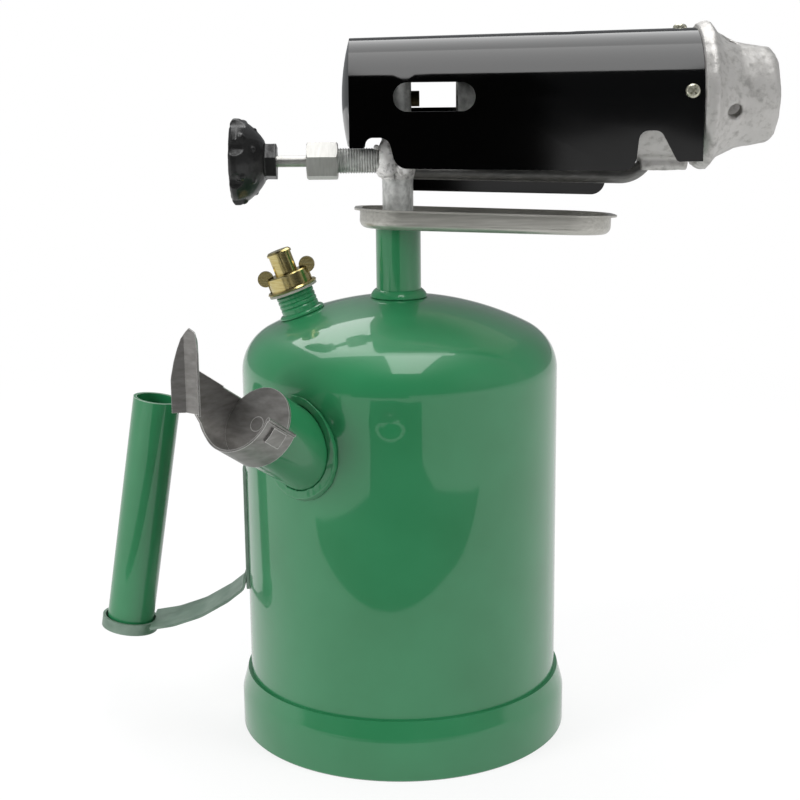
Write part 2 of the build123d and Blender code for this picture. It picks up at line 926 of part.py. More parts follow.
def hood_radius(place):
    """The hood's outer radius at a distance along the burner."""
    share = (place - hood_start) / (hood_end - hood_start)
    return hood_start_radius + (hood_end_radius - hood_start_radius) * share


def head_blank():
    """The outside of the cast head, turned: spigot, ring, cone and nozzle."""
    under_hood = hood_sheet + hood_fit
    outline = [
        (0, spigot_start),
        (hood_radius(spigot_start) - under_hood, spigot_start),
        (hood_radius(hood_end) - under_hood, ring_start),
        (ring_shoulder_radius, ring_start),
        (ring_radius, ring_crest),
        (ring_radius, ring_crest_end),
        (ring_foot_radius, ring_foot),
        (cone_end_radius, cone_end),
        (nozzle_end_radius, nozzle_end - nozzle_corner),
        (nozzle_end_radius - nozzle_corner, nozzle_end),
        (0, nozzle_end),
    ]
    return turned(burner_axis, outline)


def burner_head():
    head = head_blank()
    lug = block(
        (lug_start, -lug_width / 2, lug_foot_height),
        (lug_end, lug_width / 2, burner_height - mouth_radius),
    )
    head += chamfer(lug.faces().sort_by(Axis.Z)[0].edges().filter_by(Axis.X), lug_chamfer)
    head -= rod(burner_axis, mouth_radius, mouth_floor, nozzle_end + overrun)
    head -= rod(burner_axis, mixing_step_radius, spigot_start, nozzle_end)
    head -= rod(burner_axis, mixing_radius + braze_gap, spigot_start - overrun, mixing_socket_end)
    for number in range(air_hole_count):
        turn = 90 * number + air_hole_turn
        drill = Pos(0, 0, air_hole_place) * Rot(0, 90, 0) * Cylinder(
            air_hole_radius,
            ring_radius + overrun,
            align=standing,
        )
        head -= burner_axis.location * Rot(0, 0, turn) * drill
    head -= tube(burner_axis, gallery_outer, gallery_inner, gallery_start, gallery_end) & rod(
        burner_axis, ring_radius, gallery_start, gallery_end
    )
    head -= vapour_tube_hole()
    head -= Pos(vapour_tube_end - vapour_tube_depth, 0, 0) * rod(
        upright, gallery_drill, vapour_tube_end_height - vapour_tube_depth, burner_height - gallery_inner
    )
    return_end = spigot_start + back_tube_depth
    side = Plane(origin=(0, back_tube_side, back_tube_height), x_dir=(0, 0, 1), z_dir=(1, 0, 0))
    head -= rod(side, vapour_tube_radius + braze_gap, spigot_start - overrun, return_end)
    head -= rod(side, gallery_drill, spigot_start, gallery_end)
    for place in screw_frames():
        head -= rod(place, screw_shank_radius + braze_gap, -screw_shank_length - hood_sheet, overrun)
    return head


def hood_section(place, inset):
    """An upside-down U across the hood."""
    radius = hood_radius(place) - inset
    section = Plane(origin=(place, 0, hood_height), x_dir=(0, 1, 0), z_dir=(1, 0, 0))
    edges = [
        CenterArc((0, 0), radius, 0, 180),
        Line((-radius, 0), (-radius, -hood_depth)),
        Line((-radius, -hood_depth), (radius, -hood_depth)),
        Line((radius, -hood_depth), (radius, 0)),
    ]
    return section * make_face(Curve() + edges)


def hood_edge(far_side):
    """What is cut away below the hood's edge, as a solid that reaches out from its middle plane."""
    arch_left = hood_end - hood_arch_left
    if far_side:
        drops, corner = hood_far_drops, hood_end - hood_far_corner
    else:
        drops, corner = hood_near_drops, arch_left
    left_edge = hood_height - hood_left_drop
    notch_top = hood_height - hood_left_notch_drop
    arch_top = hood_height - hood_arch_drop
    right_edge = hood_height - hood_right_drop
    points = [
        (hood_start - overrun, left_edge),
        (-hood_left_notch, left_edge),
        (-hood_left_notch + hood_left_notch_lean, notch_top),
        (-hood_left_notch_right, notch_top),
        (-hood_left_notch_foot, hood_height - drops[0]),
        (corner, hood_height - drops[1]),
        (arch_left + hood_arch_slope, arch_top),
        (hood_end - hood_arch_right, arch_top),
        (hood_end - hood_arch_foot, right_edge),
        (hood_end + overrun, right_edge),
    ]
    floor = hood_height - hood_depth - overrun
    line = FilletPolyline(*points, radius=list(hood_edge_bends))
    below = Polyline(points[-1], (points[-1][0], floor), (points[0][0], floor), points[0])
    edges = line.edges() + below.edges()
    reach = hood_end_radius + overrun
    sheet = extrude(Plane.XZ * make_face(edges), -reach if far_side else reach)
    return sheet


def hood_window():
    """The long round-ended window through both sides."""
    slot = SlotOverall(window_right + window_left_reach, window_high_rise + window_low_drop)
    along = (window_right - window_left_reach) / 2
    height = hood_height + (window_high_rise - window_low_drop) / 2
    face = Plane.XZ * Pos(along, height) * slot
    return extrude(face, hood_end_radius + overrun, both=True)


def hood_dish():
    """The dished plate that closes the hood's end over the valve."""
    radius = (hood_start_radius**2 + hood_dish_depth**2) / (2 * hood_dish_depth)
    centre = hood_start - hood_dish_depth + radius
    shell = Pos(centre, 0, hood_height) * (Sphere(radius) - Sphere(radius - hood_sheet))
    plug = extrude(hood_section(hood_start, 0), hood_dish_depth, both=True)
    return shell & plug


def hood_walls(inset, start, end):
    """The tapered U between two places along the burner."""
    return loft([hood_section(start, inset), hood_section(end, inset)])


def shroud():
    hood = hood_walls(0, hood_start, hood_end)
    hood -= hood_walls(hood_sheet, hood_start - overrun, hood_end + overrun)
    hood += hood_dish()
    hood -= hood_edge(False)
    hood -= hood_edge(True)
    hood -= hood_window()
    vent = hood_frame(vent_place, hood_radius(vent_place), 90 - vent_turn)
    hood -= rod(vent, vent_radius, -hood_sheet - overrun, overrun)
    for place in screw_frames():
        hood -= rod(place, screw_shank_radius + braze_gap, -screw_shank_length, overrun)
    return hood


def hood_frame(place, radius, angle):
    """A frame on the hood, its z axis pointing out; the angle runs from the far side over the top."""
    level, rise = slope(angle)
    return Plane(
        origin=(place, radius * level, hood_height + radius * rise),
        x_dir=(1, 0, 0),
        z_dir=(0, level, rise),
    )


def screw_frames():
    """Frames for the hood's screws: far side, top and near side."""
    radius = hood_radius(screw_place + screw_head_radius) + braze_gap
    angles = (0, 90 - crown_turn, 180 - near_screw_turn)
    return [hood_frame(screw_place, radius, angle) for angle in angles]


def shroud_screw(frame):
    """A pan-headed screw with a cross recess, seated on the hood."""
    head = rod(Plane.XY, screw_head_radius, 0, screw_head_height)
    head = fillet(head.faces().sort_by(Axis.Z)[-1].edges(), screw_head_round)
    head += rod(Plane.XY, screw_shank_radius, -screw_shank_length, 0)
    cross_middle = screw_head_height - screw_cross_depth / 2
    for turn in (45, 135):
        bar = Box(screw_cross_length, screw_cross_width, screw_cross_depth)
        head -= Pos(0, 0, cross_middle) * Rot(0, 0, turn) * bar
    return frame.location * head


def shroud_screws():
    return Compound(children=[shroud_screw(frame) for frame in screw_frames()])


def filler_neck():
    """The ribbed neck brazed into the dome."""
    outline = [(neck_bore, -neck_depth), (neck_radius, -neck_depth)]
    for groove in range(neck_groove_count):
        foot = neck_groove_first + groove * neck_groove_pitch
        outline.append((neck_radius, foot))
        outline.append((neck_radius - neck_groove, foot + neck_groove_pitch / 4))
        outline.append((neck_radius, foot + neck_groove_pitch / 2))
    outline += [(neck_radius, neck_top), (neck_bore, neck_top)]
    return turned(filler_axis, outline)


def filler_weld():
    """The bead round the neck, on the dome."""
    inner = neck_radius + braze_gap
    bead = lens_ring(filler_axis, inner, neck_weld_radius, -neck_weld_rise, neck_weld_rise)
    return bead - tank_skin(-braze_gap)


def filler_gasket():
    return tube(filler_axis, gasket_radius, neck_bore, neck_top, neck_top + gasket_thickness)


def filler_cap():
    """The brass cap: shank, flange, collar and two round ears."""
    collar = cap_seat + cap_flange_thickness
    shank = neck_bore - cap_shank_gap
    outline = [
        (relief_hole, cap_shank_foot),
        (shank, cap_shank_foot),
        (shank, cap_seat),
        (cap_flange_radius - cap_collar_chamfer, cap_seat),
        (cap_flange_radius, cap_seat + cap_collar_chamfer),
        (cap_flange_radius - cap_collar_chamfer, collar),
        (cap_collar_radius, collar),
        (cap_collar_radius, cap_collar_top - cap_collar_chamfer),
        (cap_collar_radius - cap_collar_chamfer, cap_collar_top),
        (relief_hole, cap_collar_top),
    ]
    cap = turned(filler_axis, outline)
    for side in (-1, 1):
        middle = Pos(side * ear_reach, 0, cap_collar_top + ear_rise)
        ear = middle * Rot(90, 0, 0) * Cylinder(ear_radius, ear_thickness)
        ear += block(
            (min(0, side * ear_reach), -ear_thickness / 2, collar),
            (max(0, side * ear_reach), ear_thickness / 2, cap_collar_top),
        )
        cap += filler_axis.location * ear - rod(filler_axis, relief_radius + braze_gap, collar, relief_top)
    cap -= rod(filler_axis, relief_hole, -neck_depth, relief_top)
    cap -= rod(filler_axis, relief_radius + braze_gap, cap_collar_top, relief_top)
    return cap


def relief_housing():
    """The small brass turret of the safety valve on the cap."""
    outline = [
        (relief_room_radius, cap_collar_top),
        (relief_radius, cap_collar_top),
        (relief_radius, relief_crown_start),
        (relief_crown_radius, relief_crown_start),
        (relief_crown_radius, relief_top - relief_chamfer),
        (relief_crown_radius - relief_chamfer, relief_top),
        (relief_vent, relief_top),
        (relief_vent, relief_room_top),
        (relief_room_radius, relief_room_top),
    ]
    return turned(filler_axis, outline)


def seated_ball(frame, seat, hole, outward):
    """A ball resting on the edge of a hole, on one side of a seat."""
    reach = math.sqrt(ball_radius**2 - hole**2) + ball_rest_gap
    return frame.location * Pos(0, 0, seat + outward * reach) * Sphere(ball_radius)


def relief_ball():
    return seated_ball(filler_axis, cap_collar_top, relief_hole, 1)


def ball_back(hole):
    """How far the back of a seated ball stands from its seat."""
    return math.sqrt(ball_radius**2 - hole**2) + ball_rest_gap + ball_radius


def relief_spring():
    start = cap_collar_top + ball_back(relief_hole) + spring_ball_gap
    return tube(filler_axis, spring_radius, spring_bore, start, relief_room_top)


def handle_grip():
    length = math.hypot(grip_top_height - grip_foot_height, grip_foot_reach - grip_top_reach)
    return tube(grip_axis, grip_radius, grip_radius - grip_sheet, -grip_seat_depth, length)


def handle_bracket():
    """The strap from the tank's wall to the cup that holds the grip."""
    inner = tank_radius + bracket_gap
    top = bracket_foot_height + bracket_height
    plate = tube(upright, inner + bracket_sheet, inner, bracket_foot_height, top)
    plate &= block(
        (-inner - bracket_sheet, -bracket_width / 2, bracket_foot_height),
        (0, bracket_width / 2, top),
    )
    points = [(-tank_radius - strap_lap_gap, bracket_foot_height + strap_lap)]
    for gap, drop in zip(strap_gaps, strap_drops):
        points.append((-tank_radius - gap, bracket_foot_height - drop))
    path = FilletPolyline(*points, radius=list(strap_bends))
    strap = extrude(Plane.XZ * trace(path, bracket_sheet), bracket_width / 2, both=True)
    floor = -grip_seat_depth - cup_sheet
    cup = rod(grip_axis, cup_radius, floor, 0)
    hollow = rod(grip_axis, cup_radius - cup_sheet, -grip_seat_depth, overrun)
    return plate + strap + cup - hollow


def pump_barrel():
    return tube(pump_axis, barrel_radius, barrel_radius - barrel_sheet, barrel_foot, barrel_end)


def pump_weld():
    """The oval bead where the barrel leaves the tank's wall."""
    bore = barrel_radius + braze_gap
    around = tube(pump_axis, bore + pump_weld_width, bore, -barrel_radius, barrel_end)
    near_wall = tube(
        upright,
        tank_radius + pump_weld_rise,
        tank_radius + braze_gap,
        tank_edge_height,
        shoulder_height,
    )
    return around & near_wall


def pump_end_guide():
    return tube(
        pump_axis,
        barrel_radius - barrel_sheet - guide_side_gap,
        pump_rod_radius + guide_side_gap,
        guide_start,
        guide_end,
    )


def arc_sheet(outer, inner, start, end, first_angle, last_angle):
    """A bent sheet round the pump's axis; angles run from the level direction up."""
    corners = [(inner, start), (outer, start), (outer, end), (inner, end)]
    face = Plane.XZ * make_face(Polyline(*corners, close=True))
    bent = revolve(face, Axis.Z, last_angle - first_angle)
    return pump_axis.location * Rot(0, 0, 90 - last_angle) * bent


def gutter_radius():
    return barrel_radius + gutter_gap + gutter_sheet


def leaf_frame():
    """A level frame at the pump's foot: x away from the burner along the wall, y straight out."""
    west, south = slope(pump_azimuth)
    foot = (-tank_radius * west, -tank_radius * south, leaf_foot_height)
    return Plane(origin=foot, x_dir=(-south, west, 0), z_dir=(0, 0, 1))


def leaf():
    """The upright thumb piece: a channel section cut to a leaf outline."""
    across, forward = slope(leaf_bend)
    points = [
        (leaf_side - leaf_lip * across, leaf_distance + leaf_lip * forward),
        (leaf_side, leaf_distance),
        (leaf_side + leaf_facet, leaf_distance),
        (leaf_side + leaf_facet + leaf_flange * across, leaf_distance + leaf_flange * forward),
    ]
    section = trace(Polyline(*points), leaf_sheet)
    channel = extrude(leaf_frame() * section, leaf_tip_rise + leaf_flange)
    left = [(-inset, rise) for inset, rise in zip(leaf_left_insets, leaf_left_rises)]
    right = list(zip(leaf_right_outsets, leaf_right_rises))
    side = -tank_radius * slope(pump_azimuth)[0] - leaf_reach
    tip = [(-leaf_tip_inset, leaf_tip_rise)]
    outline = [(side + x, leaf_foot_height + z) for x, z in left + tip + right]
    shape = extrude(Plane.XZ * make_face(Polyline(*outline, close=True)), 2 * tank_radius)
    return channel & shape


def pump_handle():
    outer = gutter_radius()
    inner = outer - gutter_sheet
    gutter = arc_sheet(outer, inner, gutter_start, gutter_end, gutter_near_angle, gutter_far_angle)
    hem_side, hem_up = slope(gutter_near_angle)
    hem_reach = inner + gutter_hem
    hem = pump_axis.location * Pos(hem_reach * hem_up, hem_reach * hem_side, gutter_start) * Cylinder(
        gutter_hem,
        gutter_end - gutter_start,
        align=standing,
    )
    upper = outer * math.sin(math.radians(gutter_far_angle))
    profile = [(-drop, gutter_start + reach) for reach, drop in zip(tongue_edge_reaches, tongue_edge_drops)]
    profile = [(profile[0][0], gutter_start)] + profile
    profile += [(profile[-1][0], tongue_end), (upper, tongue_end), (upper, gutter_start)]
    prism = extrude(Plane.XZ * make_face(Polyline(*profile, close=True)), -outer)
    sheet = tube(pump_axis, outer, inner, gutter_end - gutter_sheet, tongue_end)
    tongue = sheet & (pump_axis.location * prism)
    beyond = leaf_frame().location * Pos(0, leaf_distance + tongue_end / 2, 0) * Box(
        2 * tongue_end, tongue_end, 2 * tongue_end
    )
    return gutter + hem + (tongue - beyond) + leaf()


def pump_handle_tab():
    """The lapped lug on the gutter's near wall."""
    inner = gutter_radius() + braze_gap
    return arc_sheet(inner + tab_thickness, inner, tab_start, tab_end, tab_from_angle, tab_to_angle)


def handle_disc_start():
    return barrel_end + rest_gap


def pump_handle_disc():
    start = handle_disc_start()
    return tube(
        pump_axis,
        handle_disc_radius,
        pump_rod_radius + braze_gap,
        start,
        start + handle_disc_thickness,
    )


def pump_rod():
    return rod(pump_axis, pump_rod_radius, pump_rod_foot, pump_rod_end)


def piston_plate():
    return tube(
        pump_axis,
        piston_plate_radius,
        pump_rod_radius + braze_gap,
        piston_plate_top - piston_plate_thickness,
        piston_plate_top,
    )


def leather_cup():
    """The pump leather, its lip turned down the barrel."""
    outer = barrel_radius - barrel_sheet - leather_gap
    top = piston_plate_top - piston_plate_thickness
    outline = [
        (pump_rod_radius + braze_gap, top),
        (outer, top),
        (outer, top - leather_skirt),
        (outer - leather_thickness, top - leather_skirt),
        (outer - leather_thickness, top - leather_web),
        (pump_rod_radius + braze_gap, top - leather_web),
    ]
    return turned(pump_axis, outline)


def piston_washer():
    top = piston_plate_top - piston_plate_thickness - leather_web
    return tube(
        pump_axis,
        piston_washer_radius,
        pump_rod_radius + braze_gap,
        top - piston_washer_thickness,
        top,
    )


def piston_nut():
    top = piston_plate_top - piston_plate_thickness - leather_web - piston_washer_thickness
    return six_sided(
        pump_axis,
        piston_nut_flats,
        pump_rod_radius + braze_gap,
        top - piston_nut_height,
        top,
    )


def pump_base():
    return tube(
        pump_axis,
        barrel_radius - barrel_sheet - guide_side_gap,
        pump_base_hole,
        barrel_foot,
        barrel_foot + pump_base_thickness,
    )


def check_valve_body():
    """The brass cage under the barrel that holds the check ball."""
    foot = barrel_foot - check_body_length
    body = rod(pump_axis, check_body_radius, foot, barrel_foot)
    body -= rod(pump_axis, check_room_radius, foot + check_wall, barrel_foot - check_wall)
    return body - rod(pump_axis, pump_base_hole, foot - overrun, barrel_foot + overrun)


def check_ball():
    return seated_ball(pump_axis, barrel_foot - check_wall, pump_base_hole, -1)


def check_spring():
    end = barrel_foot - check_wall - ball_back(pump_base_hole) - spring_ball_gap
    start = barrel_foot - check_body_length + check_wall
    return tube(pump_axis, spring_radius, spring_bore, start, end)


pieces = [
    tank_shell,
    tank_bottom,
    base_skirt,
    riser_socket,
    riser_weld,
    fuel_pipe,
    pickup_tube,
    strainer,
    drip_tray,
    valve_body,
    gland_nut,
    valve_packing,
    packing_washer,
    valve_stem,
    handwheel,
    handwheel_nut,
    pipe_braze,
    tube_braze,
    jet_column,
    jet,
    vaporiser_tube,
    return_tube,
    mixing_tube,
    burner_head,
    shroud,
    shroud_screws,
    filler_neck,
    filler_weld,
    filler_gasket,
    filler_cap,
    relief_housing,
    relief_ball,
    relief_spring,
    handle_grip,
    handle_bracket,
    pump_barrel,
    pump_weld,
    pump_end_guide,
    pump_handle,
    pump_handle_tab,
    pump_handle_disc,
    pump_rod,
    piston_plate,
    leather_cup,
    piston_washer,
    piston_nut,
    pump_base,
    check_valve_body,
    check_ball,
    check_spring,
]

os.makedirs("parts", exist_ok=True)
for make in pieces:
    solid = make()
    print(make.__name__, round(solid.volume), "cubic mm,", len(solid.solids()), "solid")
    export_step(solid, f"parts/{make.__name__}.step")
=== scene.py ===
# %% [markdown]
# # A petrol blow lamp, dressed for its portrait
#
# The lamp comes in as a finished frame: every part is already the right size and in the right place, in
# metres, with +Z up. This lesson gives those parts their finishes, models the few that need a freer hand
# than a drawing gives (castings, braze and a spun tank), and lights the whole.
#
# The frame is loaded first.

# %% Load the frame
import math

import bmesh
import bpy
from mathutils import Matrix, Vector


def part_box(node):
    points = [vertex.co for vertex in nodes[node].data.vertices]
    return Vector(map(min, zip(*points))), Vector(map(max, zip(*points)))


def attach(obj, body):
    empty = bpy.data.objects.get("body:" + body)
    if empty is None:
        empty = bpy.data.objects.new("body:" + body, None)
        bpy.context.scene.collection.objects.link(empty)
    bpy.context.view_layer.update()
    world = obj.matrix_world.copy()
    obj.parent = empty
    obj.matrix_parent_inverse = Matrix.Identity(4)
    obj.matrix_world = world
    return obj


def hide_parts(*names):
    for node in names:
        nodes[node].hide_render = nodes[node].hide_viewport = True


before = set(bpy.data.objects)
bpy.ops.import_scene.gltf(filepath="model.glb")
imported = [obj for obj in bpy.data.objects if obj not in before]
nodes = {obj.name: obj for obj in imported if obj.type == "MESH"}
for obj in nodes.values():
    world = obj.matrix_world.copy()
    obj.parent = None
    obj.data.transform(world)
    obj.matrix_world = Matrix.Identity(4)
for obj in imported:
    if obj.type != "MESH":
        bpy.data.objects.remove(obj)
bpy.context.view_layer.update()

MM = 0.001

# %% [markdown]
# ## The camera
#
# The photograph was taken from a little above, with a portrait lens about two thirds of a metre away. The
# lens and the tilt were worked out from the tank: how round its foot looks against its shoulder gives the
# tilt, and how much the foot is drawn in by distance gives the lens.
#
# A product of matrices is read from the right: the picture is leaned a little, the camera is pitched up from
# looking straight down, and then it is carried to its place.

# %% Place the camera
LENS_MM = 70.2
SENSOR_MM = 36.0
CAMERA_PLACE = (0, -0.6646, 0.2923)
DEGREES_BELOW_LEVEL = 12.48
LEAN_DEGREES = -0.6

scene = bpy.context.scene
scene.view_settings.view_transform = "Standard"
camera = bpy.data.objects.new("camera", bpy.data.cameras.new("camera"))
scene.collection.objects.link(camera)
scene.camera = camera
camera.data.lens = LENS_MM
camera.data.sensor_width = SENSOR_MM
lean = Matrix.Rotation(math.radians(LEAN_DEGREES), 4, "Z")
pitch = Matrix.Rotation(math.radians(90 - DEGREES_BELOW_LEVEL), 4, "X")
camera.matrix_world = Matrix.Translation(CAMERA_PLACE) @ pitch @ lean
print("camera", [round(value, 4) for value in camera.matrix_world.translation])

# %% [markdown]
# ## Helpers for finishes
#
# Colours are picked from what the eye sees, as sRGB hex, and Blender wants them linear. A finish is a small
# net of nodes, so one function adds a node, sets it and links it.

# %% Colour and node helpers
def colour(code):
    """Turn an sRGB hex colour into linear RGBA."""
    values = [int(code[place:place + 2], 16) / 255 for place in (1, 3, 5)]
    linear = [v / 12.92 if v <= 0.04045 else ((v + 0.055) / 1.055) ** 2.4 for v in values]
    return (*linear, 1.0)


def feed(owner, node, feeds):
    """Give a node's inputs a value, or a link where the value is another node's output."""
    for name, value in feeds.items():
        if isinstance(value, bpy.types.NodeSocket):
            owner.node_tree.links.new(value, node.inputs[name])
        else:
            node.inputs[name].default_value = value


def add(owner, kind, feeds=None, stops=(), **settings):
    """Add one node to a finish or the world, with its settings, its ramp's stops and its links."""
    node = owner.node_tree.nodes.new(kind)
    for name, value in settings.items():
        setattr(node, name, value)
    for index, (place, code) in enumerate(stops):
        if index > 1:
            node.color_ramp.elements.new(place)
        node.color_ramp.elements[index].position = place
        node.color_ramp.elements[index].color = colour(code)
    feed(owner, node, feeds or {})
    return node


print("mid green in linear light", [round(v, 3) for v in colour("#3c7e55")])

# %% [markdown]
# ## The world around the lamp
#
# The ground behind the lamp is pure white, but pure white light from all round would wash out the enamel. So
# the world answers in two ways. To the camera, straight or through glass, it is white paper. As a source of
# light and in mirrors it is a room, which a ramp along the direction's Y makes dim in front, where the camera
# stands, and pale at the back.

# %% The world
ROOM_STRENGTH = 0.9


def seen_directly(owner):
    """The kinds of ray, and a one where the camera looks straight or through something clear."""
    rays = add(owner, "ShaderNodeLightPath")
    straight = {0: rays.outputs["Is Camera Ray"], 1: rays.outputs["Is Transmission Ray"]}
    return rays, add(owner, "ShaderNodeMath", straight, operation="MAXIMUM").outputs[0]


world = bpy.data.worlds.new("studio")
scene.world = world
world.use_nodes = True
world.node_tree.nodes.clear()
direct = seen_directly(world)[1]
towards = add(world, "ShaderNodeTexCoord").outputs["Generated"]
around = add(world, "ShaderNodeSeparateXYZ", {"Vector": towards})
depth = add(world, "ShaderNodeMapRange", {"Value": around.outputs["Y"], "From Min": -1.0, "From Max": 1.0})
room = add(world, "ShaderNodeValToRGB", {"Fac": depth.outputs["Result"]},
           stops=((0.25, "#4a4c4e"), (0.95, "#e6e6e6"), (0.6, "#8c8e90")))
ambient = add(world, "ShaderNodeBackground", {"Color": room.outputs["Color"], "Strength": ROOM_STRENGTH})
paper = add(world, "ShaderNodeBackground", {"Color": colour("#ffffff"), "Strength": 1.0})
mixed = add(world, "ShaderNodeMixShader", {0: direct, 1: ambient.outputs[0], 2: paper.outputs[0]})
add(world, "ShaderNodeOutputWorld", {"Surface": mixed.outputs[0]})
print("world", len(world.node_tree.nodes), "nodes")

# %% [markdown]
# ## The floor
#
# The lamp stands on a pale sweep of paper. Near the foot a fifth of it is a real matt surface, which takes
# the soft shadow, and further out it only glows, as white as the world behind it, so that no horizon shows.
# In mirrors it glows at a little over half, which gives the tank its grey-green sheen. To everything but
# the camera its matt part is grey, so that it throws less light back at the enamel.

# %% The floor
FLOOR_RADIUS = 6.0
SHADOW_REACH, ALL_WHITE_FROM = 0.35, 0.9
GLOW_NEAR_FOOT, GLOW_IN_MIRRORS = 0.8, 0.62

sweep = bpy.data.materials.new("pale studio sweep")
sweep.use_nodes = True
sweep.node_tree.nodes.clear()
rays, direct = seen_directly(sweep)
mirrored = add(sweep, "ShaderNodeMath", {0: rays.outputs["Is Glossy Ray"], 1: GLOW_IN_MIRRORS},
               operation="MULTIPLY")
spot = add(sweep, "ShaderNodeTexCoord").outputs["Object"]
away = add(sweep, "ShaderNodeVectorMath", {0: spot}, operation="LENGTH")
fade = add(sweep, "ShaderNodeMapRange",
           {"Value": away.outputs["Value"], "From Min": SHADOW_REACH, "From Max": ALL_WHITE_FROM,
            "To Min": GLOW_NEAR_FOOT, "To Max": 1.0})
share = add(sweep, "ShaderNodeMath", {0: direct, 1: fade.outputs["Result"]}, operation="MULTIPLY")
share = add(sweep, "ShaderNodeMath", {0: share.outputs[0], 1: mirrored.outputs[0]}, operation="MAXIMUM")
shade = add(sweep, "ShaderNodeValToRGB", {"Fac": direct}, stops=((0.0, "#b9b9b9"), (1.0, "#ffffff")))
matt = add(sweep, "ShaderNodeBsdfDiffuse", {"Color": shade.outputs["Color"]})
glow = add(sweep, "ShaderNodeEmission", {"Color": colour("#ffffff"), "Strength": 1.0})
ground = add(sweep, "ShaderNodeMixShader", {0: share.outputs[0], 1: matt.outputs[0], 2: glow.outputs[0]})
add(sweep, "ShaderNodeOutputMaterial", {"Surface": ground.outputs[0]})


def placed(name, shape):
    """Put a shape into the scene as an object, and let go of the shape."""
    mesh = bpy.data.meshes.new(name)
    shape.to_mesh(mesh)
    shape.free()
    thing = bpy.data.objects.new(name, mesh)
    scene.collection.objects.link(thing)
    return thing


disc = bmesh.new()
bmesh.ops.create_circle(disc, cap_ends=True, segments=96, radius=FLOOR_RADIUS)
floor = placed("floor", disc)
floor.data.materials.append(sweep)
print("floor", round(floor.dimensions.x, 2), "m across")

# %% [markdown]
# ## Soft lights
#
# A strip hangs above the lamp, a little in front, and draws the long pale band along the hood's crest. A wide
# light hangs behind and draws the pale patch on the dome. One light at each side only fills in. The gloss of
# the tank would show these two as bright windows on its shoulder, which the photograph doesn't have, so they
# are kept out of mirrors.

# %% Soft lights
def soft_light(name, place, aim, width, height, watts, mirrored=True):
    """A rectangular soft light, turned to face a point; it can be kept out of mirrors."""
    light = bpy.data.lights.new(name, "AREA")
    light.shape = "RECTANGLE"
    light.size = width
    light.size_y = height
    light.energy = watts
    holder = bpy.data.objects.new(name, light)
    scene.collection.objects.link(holder)
    facing = (Vector(aim) - Vector(place)).to_track_quat("-Z", "Y").to_matrix().to_4x4()
    holder.matrix_world = Matrix.Translation(place) @ facing
    holder.visible_glossy = mirrored
    print(name, watts, "W, radiance", round(watts / math.pi / width / height, 2))


soft_light("overhead strip", (0.115, -0.45, 1.35), (0.115, -0.45, 0.0), width=0.47, height=1.2, watts=6.7)
soft_light("overhead back", (-0.17, 0.82, 1.35), (-0.17, 0.82, 0.0), width=1.25, height=1.35, watts=13.5)
for name, side, watts in (("left side", -1, 15.0), ("right side", 1, 10.0)):
    soft_light(name, (side * 1.2, -0.8, 0.6), (0.0, 0.0, 0.15), width=0.6, height=0.9, watts=watts,
               mirrored=False)

# %% [markdown]
# ## Two black cards
#
# Gloss is shown by what it mirrors, dark things as much as lights. One card stands in front and keeps the
# hood's flank dark. The other lies on the floor and draws the dark band with the round foot down the middle
# of the tank. The upright wall mirrors the floor in front of it, near for its low spots and far for its high
# ones, so the card is cut like a spade: its blade lies near the tank for the round foot, and its handle runs
# away from it for the band. Only mirrors see the cards.

# %% Black cards
CARD_LIFT = 0.002
STANDING_PLACE = (-0.36, -1.3, 0.85)
STANDING_WIDTH, STANDING_HEIGHT = 1.0, 1.7
SPADE = ((-0.29, -0.8), (-0.17, -0.46), (-0.28, -0.33), (-0.36, -0.21), (-0.29, -0.205), (-0.21, -0.225),
         (-0.14, -0.24), (-0.08, -0.25), (-0.02, -0.26), (0.06, -0.27), (0.13, -0.275), (0.23, -0.265),
         (0.31, -0.27), (0.4, -0.285), (0.28, -0.4), (0.19, -0.46), (0.14, -0.55), (0.21, -0.81))

card = bmesh.new()
upright = Matrix.Translation(STANDING_PLACE) @ Matrix.Rotation(math.pi / 2, 4, "X")
stretch = Matrix.Diagonal((STANDING_WIDTH, STANDING_HEIGHT, 1.0, 1.0))
bmesh.ops.create_grid(card, x_segments=1, y_segments=1, size=0.5, matrix=upright @ stretch)
card.faces.new([card.verts.new((x, y, CARD_LIFT)) for x, y in SPADE])
black_card = placed("black_card", card)
felt = bpy.data.materials.new("black felt card")
felt.use_nodes = True
feed(felt, felt.node_tree.nodes["Principled BSDF"],
     {"Base Color": colour("#050505"), "Roughness": 1.0, "Specular IOR Level": 0.0})
black_card.data.materials.append(felt)
black_card.visible_camera = False
black_card.visible_diffuse = False
black_card.visible_shadow = False
print("cards", len(black_card.data.polygons))

# %% [markdown]
# ## How a finish starts
#
# Each finish starts from one shader and the object's own coordinates, which are metres. Noise gives it its
# detail, and the noise's scale is worked out from a real size: 1000 / 30 makes clouds 30 mm wide.
#
# Edges can take a tint of their own. Where hands and tools have rubbed the handle's grip, the paint has gone
# pale: that is wear. Along the edges of the pump handle the near-white tint is a painted highlight. A Bevel
# node finds the edges: it rounds the normals near an edge, and where the rounded normal turns away from the
# true one, the edge tint is mixed in. The angle between the two is read from their dot product.

# %% Start a finish, and tint its edges with wear and painted highlight
# Cosines of the normal's turn where the edge tint begins and where it is full; the tint is wear on the grip
# and a painted highlight on the pump handle.
EDGE_TINT_FROM, EDGE_TINT_FULL_FROM = 0.96, 0.82


def finish(name, code, metallic, roughness, **more):
    """A new finish, the shader that it starts from, and the object's own coordinates."""
    material = bpy.data.materials.new(name)
    material.use_nodes = True
    shader = material.node_tree.nodes["Principled BSDF"]
    feeds = {"Base Color": colour(code), "Metallic": metallic, "Roughness": roughness}
    feeds.update({key.replace("_", " "): value for key, value in more.items()})
    feed(material, shader, feeds)
    return material, shader, add(material, "ShaderNodeTexCoord").outputs["Object"]


